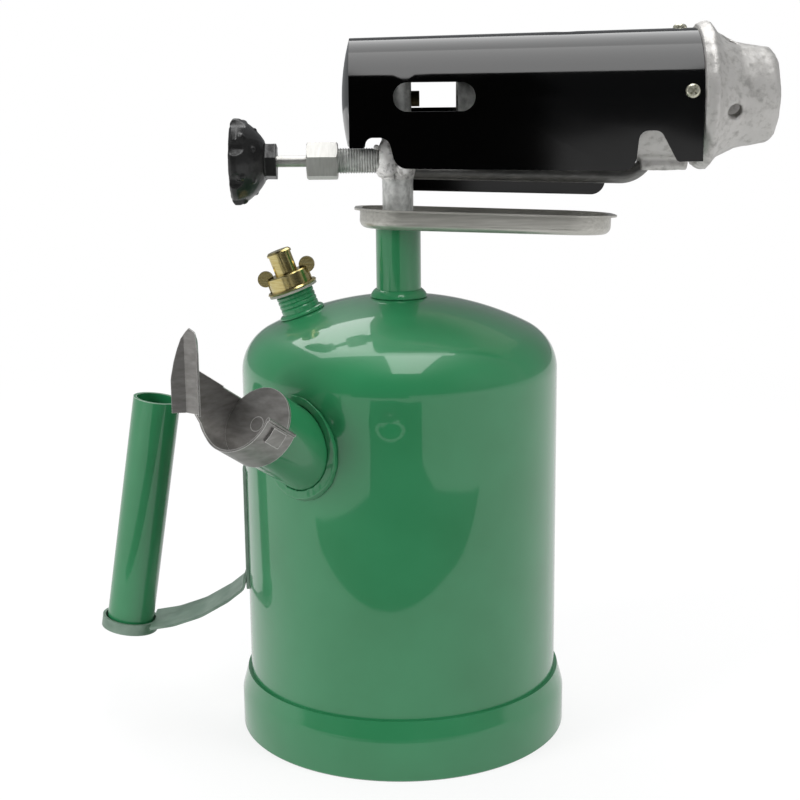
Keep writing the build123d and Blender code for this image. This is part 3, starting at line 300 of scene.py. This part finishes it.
def worn_and_highlit_edges(material, tint, radius, edge_tint):
    """Mix an edge tint into a finish along its edges, within a radius in millimetres; it serves wear and
    painted highlight.
    """
    eased = add(material, "ShaderNodeBevel", {"Radius": radius * MM}, samples=8)
    sharp = add(material, "ShaderNodeNewGeometry")
    turned = add(material, "ShaderNodeVectorMath", {0: eased.outputs["Normal"], 1: sharp.outputs["Normal"]},
                 operation="DOT_PRODUCT")
    # The mask of the edge tint, for wear and for painted highlight alike.
    rubbed = add(material, "ShaderNodeMapRange",
                 {"Value": turned.outputs["Value"], "From Min": EDGE_TINT_FROM, "From Max": EDGE_TINT_FULL_FROM})
    mixed = add(material, "ShaderNodeMix", {"Factor": rubbed.outputs["Result"], 6: tint, 7: colour(edge_tint)},
                data_type="RGBA")
    return mixed.outputs[2]


print("edges are rubbed from", round(math.degrees(math.acos(EDGE_TINT_FROM))), "degrees and bare from",
      round(math.degrees(math.acos(EDGE_TINT_FULL_FROM))))

# %% [markdown]
# ## Green stove enamel
#
# The tank, its foot ring, the riser and the tube handle are sprayed and baked in one gloss green. Such paint
# is a coloured coat under a clear, hard skin: a Principled shader with a coat does the same. The colour
# drifts by a shade over the wide surfaces, in clouds 30 mm wide. The skin is a little uneven, like the peel
# of an orange, drawn 2.5 mm wide, a little coarser than life. The handle's rim is rubbed pale.

# %% Green enamel
def enamel(name, rubbed):
    """Green enamel under its clear skin; where it is rubbed, its edges have gone pale."""
    material, shader, where = finish(name, "#287d4d", 0.0, 0.42, Coat_Weight=1.0, Coat_Roughness=0.05)
    drift = add(material, "ShaderNodeTexNoise", {"Vector": where, "Scale": 1000 / 30, "Detail": 3.0})
    tint = add(material, "ShaderNodeValToRGB", {"Fac": drift.outputs["Fac"]},
               stops=((0.3, "#26794b"), (0.7, "#2d8153"))).outputs["Color"]
    if rubbed:
        tint = worn_and_highlit_edges(material, tint, 0.7, "#b9cdbd")
    peel = add(material, "ShaderNodeTexNoise", {"Vector": where, "Scale": 1000 / 2.5, "Detail": 1.0})
    skin = add(material, "ShaderNodeBump",
               {"Height": peel.outputs["Fac"], "Strength": 0.15, "Distance": 0.02 * MM})
    feed(material, shader, {"Base Color": tint, "Coat Normal": skin.outputs["Normal"]})
    return material


green = enamel("green stove enamel", False)
worn_green = enamel("green stove enamel, rubbed at the edges", True)
print(green.name, "and", worn_green.name)

# %% [markdown]
# ## Paint on the strap
#
# The strap and the cup that hold the handle have a thin, greyer green that lets the steel through. It is
# cloudy, in patches 9 mm wide, and a little gritty to the light.

# %% Strap paint
strap_paint, shader, where = finish("grey-green paint on the strap", "#6f8577", 0.3, 0.38)
wear = add(strap_paint, "ShaderNodeTexNoise", {"Vector": where, "Scale": 1000 / 9, "Detail": 6.0})
tint = add(strap_paint, "ShaderNodeValToRGB", {"Fac": wear.outputs["Fac"]},
           stops=((0.35, "#6f8677"), (0.72, "#8da193")))
grit = add(strap_paint, "ShaderNodeBump",
           {"Height": wear.outputs["Fac"], "Strength": 0.2, "Distance": 0.1 * MM})
feed(strap_paint, shader, {"Base Color": tint.outputs["Color"], "Normal": grit.outputs["Normal"]})
print(strap_paint.name)

# %% [markdown]
# ## Black enamel
#
# The hood is thin sheet under a hard black gloss, so nearly everything it shows is reflection: the overhead
# light along its crest, and darkness on its flank. Dust makes the gloss uneven, in clouds 14 mm wide, and
# the sheet itself waves very slightly, every 22 mm.

# %% Black enamel
black, shader, where = finish("black gloss enamel", "#030303", 0.0, 0.1, Specular_IOR_Level=0.55)
dust = add(black, "ShaderNodeTexNoise", {"Vector": where, "Scale": 1000 / 14, "Detail": 5.0})
haze = add(black, "ShaderNodeMapRange", {"Value": dust.outputs["Fac"], "To Min": 0.05, "To Max": 0.11})
wave = add(black, "ShaderNodeTexNoise", {"Vector": where, "Scale": 1000 / 22, "Detail": 0.0})
skin = add(black, "ShaderNodeBump", {"Height": wave.outputs["Fac"], "Strength": 0.1, "Distance": 0.1 * MM})
feed(black, shader, {"Roughness": haze.outputs["Result"], "Normal": skin.outputs["Normal"]})
print(black.name)

# %% [markdown]
# ## Cast alloy
#
# The burner head is cast in sand and left as it fell: a pale, rough, mottled grey with small pits. The
# mottle is 3 mm wide, and its pale spots are smoother than its dark ones. The pits are 1 mm wide.

# %% Cast alloy
cast, shader, where = finish("rough cast alloy", "#c4c2be", 0.6, 0.5)
mottle = add(cast, "ShaderNodeTexNoise",
             {"Vector": where, "Scale": 1000 / 3.2, "Detail": 6.0, "Roughness": 0.6})
tint = add(cast, "ShaderNodeValToRGB", {"Fac": mottle.outputs["Fac"]},
           stops=((0.3, "#aba9a6"), (0.7, "#e6e4e0"), (0.5, "#cccac7")))
shine = add(cast, "ShaderNodeMapRange", {"Value": mottle.outputs["Fac"], "To Min": 0.62, "To Max": 0.36})
pits = add(cast, "ShaderNodeTexNoise", {"Vector": where, "Scale": 1000 / 1.1, "Detail": 4.0})
rough = add(cast, "ShaderNodeBump", {"Height": pits.outputs["Fac"], "Strength": 0.6, "Distance": 0.25 * MM})
feed(cast, shader, {"Base Color": tint.outputs["Color"], "Roughness": shine.outputs["Result"],
                    "Normal": rough.outputs["Normal"]})
print(cast.name)

# %% [markdown]
# ## Silver braze
#
# Braze is melted into the joints of the pipes and freezes in lumps. It has a soft shine and darker seams
# about
# 2.4 mm apart. Its colour is almost white and it isn't set to metal: that is painted brightness, standing in
# for the shine of the silver, which the lights don't reach under the hood.

# %% Silver braze
# Almost white and not metal: painted brightness in place of the silver's reflections.
braze, shader, where = finish("silver braze", "#f7f6f3", 0.0, 0.26)
flow = add(braze, "ShaderNodeTexNoise", {"Vector": where, "Scale": 1000 / 2.4, "Detail": 4.0})
tint = add(braze, "ShaderNodeValToRGB", {"Fac": flow.outputs["Fac"]},
           stops=((0.32, "#a9a7a3"), (0.6, "#ffffff"), (0.45, "#ecebe8")))
rough = add(braze, "ShaderNodeBump", {"Height": flow.outputs["Fac"], "Strength": 0.5, "Distance": 0.3 * MM})
feed(braze, shader, {"Base Color": tint.outputs["Color"], "Normal": rough.outputs["Normal"]})
print(braze.name)

# %% [markdown]
# ## Steels and dark brass
#
# These bare metals differ in their greys and in how finely they were worked, so one function makes them all.
# The marks of rolling, drawing or turning are noise, stretched by a Mapping node. Each grain below is the
# marks' size along X, Y and Z in millimetres, and the number after it is their depth.

# %% Steels
def steel(name, low, high, smooth, dull, grain, marked, metallic, edge_tint=None):
    """A bare metal: two colours and two roughnesses that follow marks of a size in millimetres."""
    material, shader, where = finish(name, high, metallic, smooth)
    stretched = add(material, "ShaderNodeMapping", {"Vector": where, "Scale": [1 / size for size in grain]})
    streaks = add(material, "ShaderNodeTexNoise",
                  {"Vector": stretched.outputs["Vector"], "Scale": 1000.0, "Detail": 4.0})
    tint = add(material, "ShaderNodeValToRGB", {"Fac": streaks.outputs["Fac"]},
               stops=((0.3, low), (0.7, high))).outputs["Color"]
    if edge_tint:
        tint = worn_and_highlit_edges(material, tint, 0.5, edge_tint)
    sheen = add(material, "ShaderNodeMapRange",
                {"Value": streaks.outputs["Fac"], "To Min": smooth, "To Max": dull})
    marks = add(material, "ShaderNodeBump",
                {"Height": streaks.outputs["Fac"], "Strength": 0.3, "Distance": marked * MM})
    feed(material, shader, {"Base Color": tint, "Roughness": sheen.outputs["Result"],
                            "Normal": marks.outputs["Normal"]})
    print(name)
    return material


# Turned on a lathe: bright, with fine rings round the valve's axis, which lies along X.
bright_steel = steel("bright turned steel", "#bdbcb8", "#cecdc9", 0.36, 0.48, (1.2, 6, 6), 0.008, 0.75)
# Plated: a warm, yellowish shine with an even grain.
zinc = steel("zinc-plated screws", "#cdcbb3", "#e6e4d3", 0.22, 0.34, (2, 2, 2), 0.03, 0.8)
# Drawn as pipe: pale grey and only half metal. The pale colour is painted sheen, for the pipes' reflections.
steel_with_painted_sheen = steel("drawn steel, pale with painted sheen", "#b4b6b3", "#f0f1ee", 0.3, 0.46, (3, 1.5, 3), 0.05, 0.5)
# Rolled: a warm grey with long fine marks along the sheet.
tray_steel = steel("rolled sheet of the tray", "#b6b4ad", "#cfcdc6", 0.26, 0.38, (16, 1, 1), 0.01, 0.65)
# Pressed steel: a dark grey, with a painted highlight, nearly white, along its edges.
leaf_steel = steel("pressed steel of the pump handle", "#807e7b", "#9d9b98", 0.32, 0.44, (6, 6, 2), 0.02, 0.7,
                   "#f4f3f0")
# Drawn, and then heated again and again: dark and dull, with marks along the tube.
tube_steel = steel("steel darkened by the flame", "#6c6c6a", "#8a8a87", 0.36, 0.5, (6, 1.5, 1.5), 0.03, 0.7)
# Turned brass, nearly black, with a warm brown in it.
dark_brass = steel("dark brass of the jet", "#3a3426", "#544b33", 0.4, 0.55, (2, 2, 2), 0.02, 0.8)

# %% [markdown]
# ## Polished brass
#
# The filler cap is turned on a lathe and polished, with the faint rings of the tool left on it, half a
# millimetre apart. A Mapping node squeezes the noise first and turns it afterwards. So the rings lie level
# even though the cap leans, and the turn only picks which part of the noise shows.

# %% Polished brass
brass, shader, where = finish("polished brass", "#c9b45e", 1.0, 0.2)
squeezed = add(brass, "ShaderNodeMapping", {"Vector": where, "Rotation": (0.0, math.radians(20), 0.0),
                                            "Scale": (1 / 8, 1 / 8, 1 / 0.5)})
rings = add(brass, "ShaderNodeTexNoise",
            {"Vector": squeezed.outputs["Vector"], "Scale": 1000.0, "Detail": 3.0})
tint = add(brass, "ShaderNodeValToRGB", {"Fac": rings.outputs["Fac"]},
           stops=((0.3, "#c3b06e"), (0.7, "#ddd09a")))
sheen = add(brass, "ShaderNodeMapRange", {"Value": rings.outputs["Fac"], "To Min": 0.14, "To Max": 0.3})
marks = add(brass, "ShaderNodeBump",
            {"Height": rings.outputs["Fac"], "Strength": 0.25, "Distance": 0.04 * MM})
feed(brass, shader, {"Base Color": tint.outputs["Color"], "Roughness": sheen.outputs["Result"],
                     "Normal": marks.outputs["Normal"]})
print(brass.name)

# %% [markdown]
# ## Moulded bakelite
#
# The handwheel is moulded from bakelite: dense black with a soft gloss, which the press left slightly uneven
# in patches 4 mm wide.

# %% Bakelite
bakelite, shader, where = finish("moulded black bakelite", "#1d1d1d", 0.0, 0.3)
worn = add(bakelite, "ShaderNodeTexNoise", {"Vector": where, "Scale": 1000 / 4, "Detail": 5.0})
sheen = add(bakelite, "ShaderNodeMapRange", {"Value": worn.outputs["Fac"], "To Min": 0.2, "To Max": 0.42})
lumps = add(bakelite, "ShaderNodeBump",
            {"Height": worn.outputs["Fac"], "Strength": 0.35, "Distance": 0.15 * MM})
feed(bakelite, shader, {"Roughness": sheen.outputs["Result"], "Normal": lumps.outputs["Normal"]})
print(bakelite.name)

# %% [markdown]
# ## Rubber, packing and leather
#
# The cap's gasket, the gland's packing and the pump's leather cup are all matt and slightly rough, and differ
# in their two shades and in the width of their grain.

# %% The soft stuffs
def matt_stuff(name, low, high, grain):
    """A dull, slightly rough stuff in two shades, with a grain of a size in millimetres."""
    material, shader, where = finish(name, low, 0.0, 0.75)
    fleck = add(material, "ShaderNodeTexNoise", {"Vector": where, "Scale": 1000 / grain, "Detail": 4.0})
    tint = add(material, "ShaderNodeValToRGB", {"Fac": fleck.outputs["Fac"]},
               stops=((0.35, low), (0.65, high)))
    nap = add(material, "ShaderNodeBump",
              {"Height": fleck.outputs["Fac"], "Strength": 0.4, "Distance": 0.08 * MM})
    feed(material, shader, {"Base Color": tint.outputs["Color"], "Normal": nap.outputs["Normal"]})
    return material


# Cut from sheet: a dusty, pale grey.
rubber = matt_stuff("pale petrol-proof rubber", "#8e8f86", "#a9aaa0", 1.5)
# Pressed round the stem: nearly black, with the finest grain of the three.
packing = matt_stuff("graphite packing", "#26272a", "#3d3e42", 0.8)
# Soaked in oil: a dark brown with the grain of the hide.
leather = matt_stuff("oiled leather", "#4f3322", "#6d4a31", 1.0)
print(len(bpy.data.materials), "finishes")

# %% [markdown]
# ## Dress the parts that come from the frame
#
# Most parts are turned, pressed or drawn, and their solids already have the right shape. They get a finish
# and smooth shading. Their meshes arrive as loose triangles, so a Weld modifier joins them and an Edge Split
# keeps the true corners crisp, without touching the mesh itself.

# %% Dress the frame
SAME_POINT_MM = 0.002
CORNER_DEGREES = 32

finishes = {
    green: ["tank_shell", "tank_bottom", "base_skirt", "riser_socket", "riser_weld", "filler_neck",
            "filler_weld", "pump_barrel", "pump_weld"],
    worn_green: ["handle_grip"],
    strap_paint: ["handle_bracket"],
    black: ["shroud"],
    cast: ["burner_head"],
    braze: ["pipe_braze", "tube_braze"],
    zinc: ["shroud_screws"],
    bright_steel: ["gland_nut", "valve_stem", "handwheel_nut", "check_spring",
                   "relief_spring", "check_ball", "relief_ball", "packing_washer"],
    steel_with_painted_sheen: ["fuel_pipe", "valve_body", "jet_column", "mixing_tube", "pickup_tube", "pump_end_guide",
                 "pump_base", "piston_plate", "piston_washer", "piston_nut"],
    tube_steel: ["vaporiser_tube", "return_tube"],
    tray_steel: ["drip_tray"],
    leaf_steel: ["pump_handle", "pump_handle_tab", "pump_handle_disc", "pump_rod"],
    brass: ["filler_cap", "relief_housing", "strainer", "check_valve_body"],
    bakelite: ["handwheel"],
    dark_brass: ["jet"],
    rubber: ["filler_gasket"],
    packing: ["valve_packing"],
    leather: ["leather_cup"],
}


def smooth_shading(piece):
    """Join the triangles for shading, and split only where the surface truly turns a corner."""
    piece.data.polygons.foreach_set("use_smooth", [True] * len(piece.data.polygons))
    joined = piece.modifiers.new("joined for shading", "WELD")
    joined.merge_threshold = SAME_POINT_MM * MM
    corners = piece.modifiers.new("crisp corners", "EDGE_SPLIT")
    corners.split_angle = math.radians(CORNER_DEGREES)


dressed = set()
for material, names in finishes.items():
    for name in names:
        piece = nodes[name]
        piece.data.materials.clear()
        piece.data.materials.append(material)
        smooth_shading(piece)
        dressed.add(name)
print(len(dressed), "parts dressed; left", sorted(set(nodes) - dressed))

# %% [markdown]
# ## From a shape to a piece
#
# A piece made in this lesson rides on one of the lamp's bodies, so that it moves with it, and stands for the
# parts of the frame that it replaces, which are then hidden. Its faces are shaded smooth, and its corners
# stay crisp from the same angle as on the other parts.

# %% Make a piece
def make_piece(name, shape, material, body, *stands_for):
    """Turn a finished bmesh into a piece that rides on a body and stands for its parts."""
    for edge in shape.edges:
        edge.smooth = edge.calc_face_angle(0.0) < math.radians(CORNER_DEGREES)
    for face in shape.faces:
        face.smooth = True
    piece = placed(name, shape)
    piece.data.materials.append(material)
    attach(piece, body)
    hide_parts(*stands_for)
    print(name, len(piece.data.polygons), "faces")
    return piece


print("edges of", CORNER_DEGREES, "degrees and more stay crisp")

# %% [markdown]
# ## The outline of the tank
#
# A tank like this is a tube with a domed end. In Blender it is one outline of a few points, spun round the
# upright axis: the dome and the knuckle below it are arcs, made by turning a single point about their
# centres. The dome starts at the rim of the hole for the riser, and the upper wall has a row of points every
# 2 mm, so that it can take dents. Spun from its own outline, the tank reflects the lights without a facet.

# %% Draw the tank's outline and spin it
TANK_RADIUS, KNUCKLE_RADIUS, CROWN_RADIUS = 68.0, 19.8, 125.74
CROWN_MIDDLE_HEIGHT, SHOULDER_HEIGHT, DENTS_DOWN_TO, TANK_EDGE_HEIGHT = 65.66, 160, 136, 17
RISER_HOLE_RADIUS = 9.75
ROW_STEP = 2
CROWN_STEPS, KNUCKLE_STEPS, ROUND_STEPS = 20, 24, 320


def arc(shape, point, centre, angle, steps):
    """Draw an arc in the upright plane by turning a point about a centre; returns its last point."""
    made = bmesh.ops.spin(shape, geom=[point], cent=centre, axis=(0, 1, 0), angle=angle, steps=steps)
    return [item for item in made["geom_last"] if isinstance(item, bmesh.types.BMVert)][0]


shape = bmesh.new()
knuckle_turn = math.atan2(SHOULDER_HEIGHT - CROWN_MIDDLE_HEIGHT, TANK_RADIUS - KNUCKLE_RADIUS)
first_turn = math.acos(RISER_HOLE_RADIUS / CROWN_RADIUS)
top_height = CROWN_MIDDLE_HEIGHT + CROWN_RADIUS * math.sin(first_turn)
knuckle_middle = ((TANK_RADIUS - KNUCKLE_RADIUS) * MM, 0, SHOULDER_HEIGHT * MM)
point = shape.verts.new((RISER_HOLE_RADIUS * MM, 0, top_height * MM))
point = arc(shape, point, (0, 0, CROWN_MIDDLE_HEIGHT * MM), first_turn - knuckle_turn, CROWN_STEPS)
point = arc(shape, point, knuckle_middle, knuckle_turn, KNUCKLE_STEPS)
for height in list(range(SHOULDER_HEIGHT - ROW_STEP, DENTS_DOWN_TO, -ROW_STEP)) + [TANK_EDGE_HEIGHT]:
    below = shape.verts.new((TANK_RADIUS * MM, 0, height * MM))
    shape.edges.new((point, below))
    point = below
bmesh.ops.spin(shape, geom=shape.verts[:] + shape.edges[:], cent=(0, 0, 0), axis=(0, 0, 1),
               angle=math.tau, steps=ROUND_STEPS, use_merge=True)
bmesh.ops.remove_doubles(shape, verts=shape.verts, dist=0.001 * MM)
bmesh.ops.recalc_face_normals(shape, faces=shape.faces)
print("tank spun from its outline,", len(shape.faces), "faces")

# %% [markdown]
# ## Two small dents
#
# The wall has been knocked twice, once in front and once beside the pump. Each dent is a smooth bell pressed
# inwards, deepest in its middle, and past three of its widths nothing moves.

# %% Dent the wall
DENT_MIDDLES = ((-4.0, -67.9, 151.0), (-26.5, -62.6, 150.0))
DENT_WIDTH, DENT_DEPTH, DENT_WIDTHS_REACHED = 3.6, 1.3, 3

for middle in [Vector(place) * MM for place in DENT_MIDDLES]:
    inward = Vector((-middle.x, -middle.y, 0)).normalized()
    for vert in shape.verts:
        away = (vert.co - middle).length / (DENT_WIDTH * MM)
        if away < DENT_WIDTHS_REACHED:
            vert.co += inward * DENT_DEPTH * MM * math.exp(-away * away)
print(len(DENT_MIDDLES), "dents")

# %% [markdown]
# ## Thickness and holes
#
# The outline becomes sheet 1.2 mm thick. The pump's barrel goes through the wall and the filler's neck
# through the dome, so both holes are drilled. Without them, the pump's leather would pass through the sheet
# on its stroke. A drill is a cylinder that is taken away from the sheet, and is then no longer needed.

# %% Thicken and drill the tank
SHEET_THICKNESS = 1.2
# Each hole: a place on its axis, the axis, a radius and a depth to both sides, in millimetres.
PUMP_HOLE = ((-40.92, -54.31, 137.2), (-0.5104, -0.6773, 0.5299), 15.12, 24)
FILLER_HOLE = ((-41.7, 0.0, 184.28), (-0.342, 0.0, 0.9397), 8.27, 6)


def bored(shape, *holes):
    """Drill round holes through a shape, and give back the drilled shape."""
    drills = bmesh.new()
    for place, along, radius, reach in holes:
        facing = Vector(along).to_track_quat("Z", "Y").to_matrix().to_4x4()
        bmesh.ops.create_cone(drills, cap_ends=True, segments=96, radius1=radius * MM, radius2=radius * MM,
                              depth=2 * reach * MM, matrix=Matrix.Translation(Vector(place) * MM) @ facing)
    blank = placed("blank", shape)
    drill = placed("drill", drills)
    cut = blank.modifiers.new("cut", "BOOLEAN")
    cut.object = drill
    cut.solver = "EXACT"
    bpy.context.view_layer.update()
    finished = bmesh.new()
    finished.from_object(blank, bpy.context.evaluated_depsgraph_get())
    bpy.data.objects.remove(blank)
    bpy.data.objects.remove(drill)
    return finished


bmesh.ops.solidify(shape, geom=shape.faces[:], thickness=SHEET_THICKNESS * MM)
tank = make_piece("tank", bored(shape, PUMP_HOLE, FILLER_HOLE), green, "lamp", "tank_shell")

# %% [markdown]
# ## The cast burner head
#
# A sand casting has no sharp corner and no flat face. The solid of the burner head is copied and merged,
# wrapped in a fine skin of even small faces, and that skin is pushed in and out by a slow noise, which gives
# the soft edges and the uneven lip of the real one. The push goes mostly inwards, so that the piece stays
# inside the frame's box.

# %% Skin the burner head
def cast_skin(name, material, body, source, voxel, lumps, depth, extra=None):
    """A lumpy piece from a copy of a solid; the skin's faces, the lumps and their depth in millimetres."""
    shape = bmesh.new()
    shape.from_mesh(nodes[source].data)
    bmesh.ops.remove_doubles(shape, verts=shape.verts, dist=SAME_POINT_MM * MM)
    if extra:
        extra(shape)
    piece = make_piece(name, shape, material, body, source)
    wrap = piece.modifiers.new("even skin", "REMESH")
    wrap.mode = "VOXEL"
    wrap.voxel_size = voxel * MM
    wrap.use_smooth_shade = True
    ease = piece.modifiers.new("soft corners", "SMOOTH")
    ease.factor = 0.5
    ease.iterations = 3
    noise = bpy.data.textures.new(name + " lumps", "CLOUDS")
    noise.noise_scale = lumps * MM
    noise.noise_depth = 2
    push = piece.modifiers.new("lumps", "DISPLACE")
    push.texture = noise
    push.texture_coords = "LOCAL"
    push.strength = depth * MM
    push.mid_level = 0.75


cast_skin("burner_casting", cast, "lamp", "burner_head", voxel=0.85, lumps=5.0, depth=0.7)

# %% [markdown]
# ## Braze on the valve chamber
#
# Where the pipes meet, braze was fed in by hand. On the side towards the handwheel it froze as one tall bead
# down the front, with smaller drops round it. Each drop is a ball, flattened against the chamber, and the
# skin over all of them lets them run together. The other side, round the vaporiser tube, only has the lumps
# of its skin.

# %% Braze
# Each drop: its middle, half its width and half its height, in millimetres.
DROPS = ((-4.2, -8.0, 250.6, 3.7, 8.2), (-8.6, -4.6, 254.6, 1.5, 1.4), (2.9, -7.6, 245.8, 3.7, 3.5),
         (-4.4, -8.3, 245.6, 3.9, 3.7), (-6.6, -3.4, 244.5, 2.6, 3.0), (4.6, -4.6, 249.6, 2.2, 3.4))
DROP_FLATNESS = 0.7


def drops(shape):
    """Drops of braze that froze on the front of the chamber."""
    for x, y, z, wide, tall in DROPS:
        size = Matrix.Diagonal((wide, wide * DROP_FLATNESS, tall, 1.0))
        place = Matrix.Translation((x * MM, y * MM, z * MM))
        bmesh.ops.create_icosphere(shape, subdivisions=3, radius=MM, matrix=place @ size)


cast_skin("braze_lumps", braze, "lamp", "pipe_braze", voxel=0.35, lumps=2.4, depth=0.7, extra=drops)
cast_skin("tube_braze_lumps", braze, "lamp", "tube_braze", voxel=0.3, lumps=2.5, depth=0.4)

# %% [markdown]
# ## Weld beads under the paint
#
# The pump's barrel, the riser and the filler's neck are welded to the tank before it is painted. The same
# skin makes their beads uneven, and the enamel runs over them.

# %% Weld beads
for name, source, voxel, lumps, depth in (("pump_weld_bead", "pump_weld", 0.4, 4.0, 0.5),
                                          ("riser_weld_bead", "riser_weld", 0.3, 4.0, 0.3),
                                          ("filler_weld_bead", "filler_weld", 0.25, 3.0, 0.3)):
    cast_skin(name, green, "lamp", source, voxel, lumps, depth)

# %% [markdown]
# ## The moulded handwheel
#
# The wheel is a bell with a lobed rim. Small round knobs stand on the bell in two rows of six and give the
# fingers a grip, and the mould has left all of it soft. The knobs are balls sunk into the bell, and their
# places are counted from the wheel's face, which is the lowest X of its box in the frame.

# %% The handwheel
VALVE_HEIGHT = 248.8
# Each row: its radius round the stem, its distance from the face, a knob's radius and the first knob's angle.
KNOB_ROWS = ((15.9, 5.0, 2.1, 18.0), (12.9, 9.7, 1.5, 33.0))
KNOBS_IN_A_ROW = 6


def knobs(shape):
    """Small round grips that stand on the bell of the wheel, in two rows of six."""
    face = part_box("handwheel")[0][0] / MM
    for turn in range(KNOBS_IN_A_ROW):
        for radius, setback, size, first in KNOB_ROWS:
            angle = math.radians(360 / KNOBS_IN_A_ROW * turn + first)
            height = VALVE_HEIGHT + radius * math.sin(angle)
            place = Vector((face + setback, radius * math.cos(angle), height))
            bmesh.ops.create_icosphere(shape, subdivisions=2, radius=size * MM,
                                       matrix=Matrix.Translation(place * MM))


cast_skin("moulded_wheel", bakelite, "valve_wheel", "handwheel",
          voxel=0.4, lumps=4.0, depth=0.3, extra=knobs)

# %% [markdown]
# ## Finish
#
# The dressed lamp must fill the same box as its frame. Here the scene is only brought up to date.

# %% Finish
bpy.context.view_layer.update()
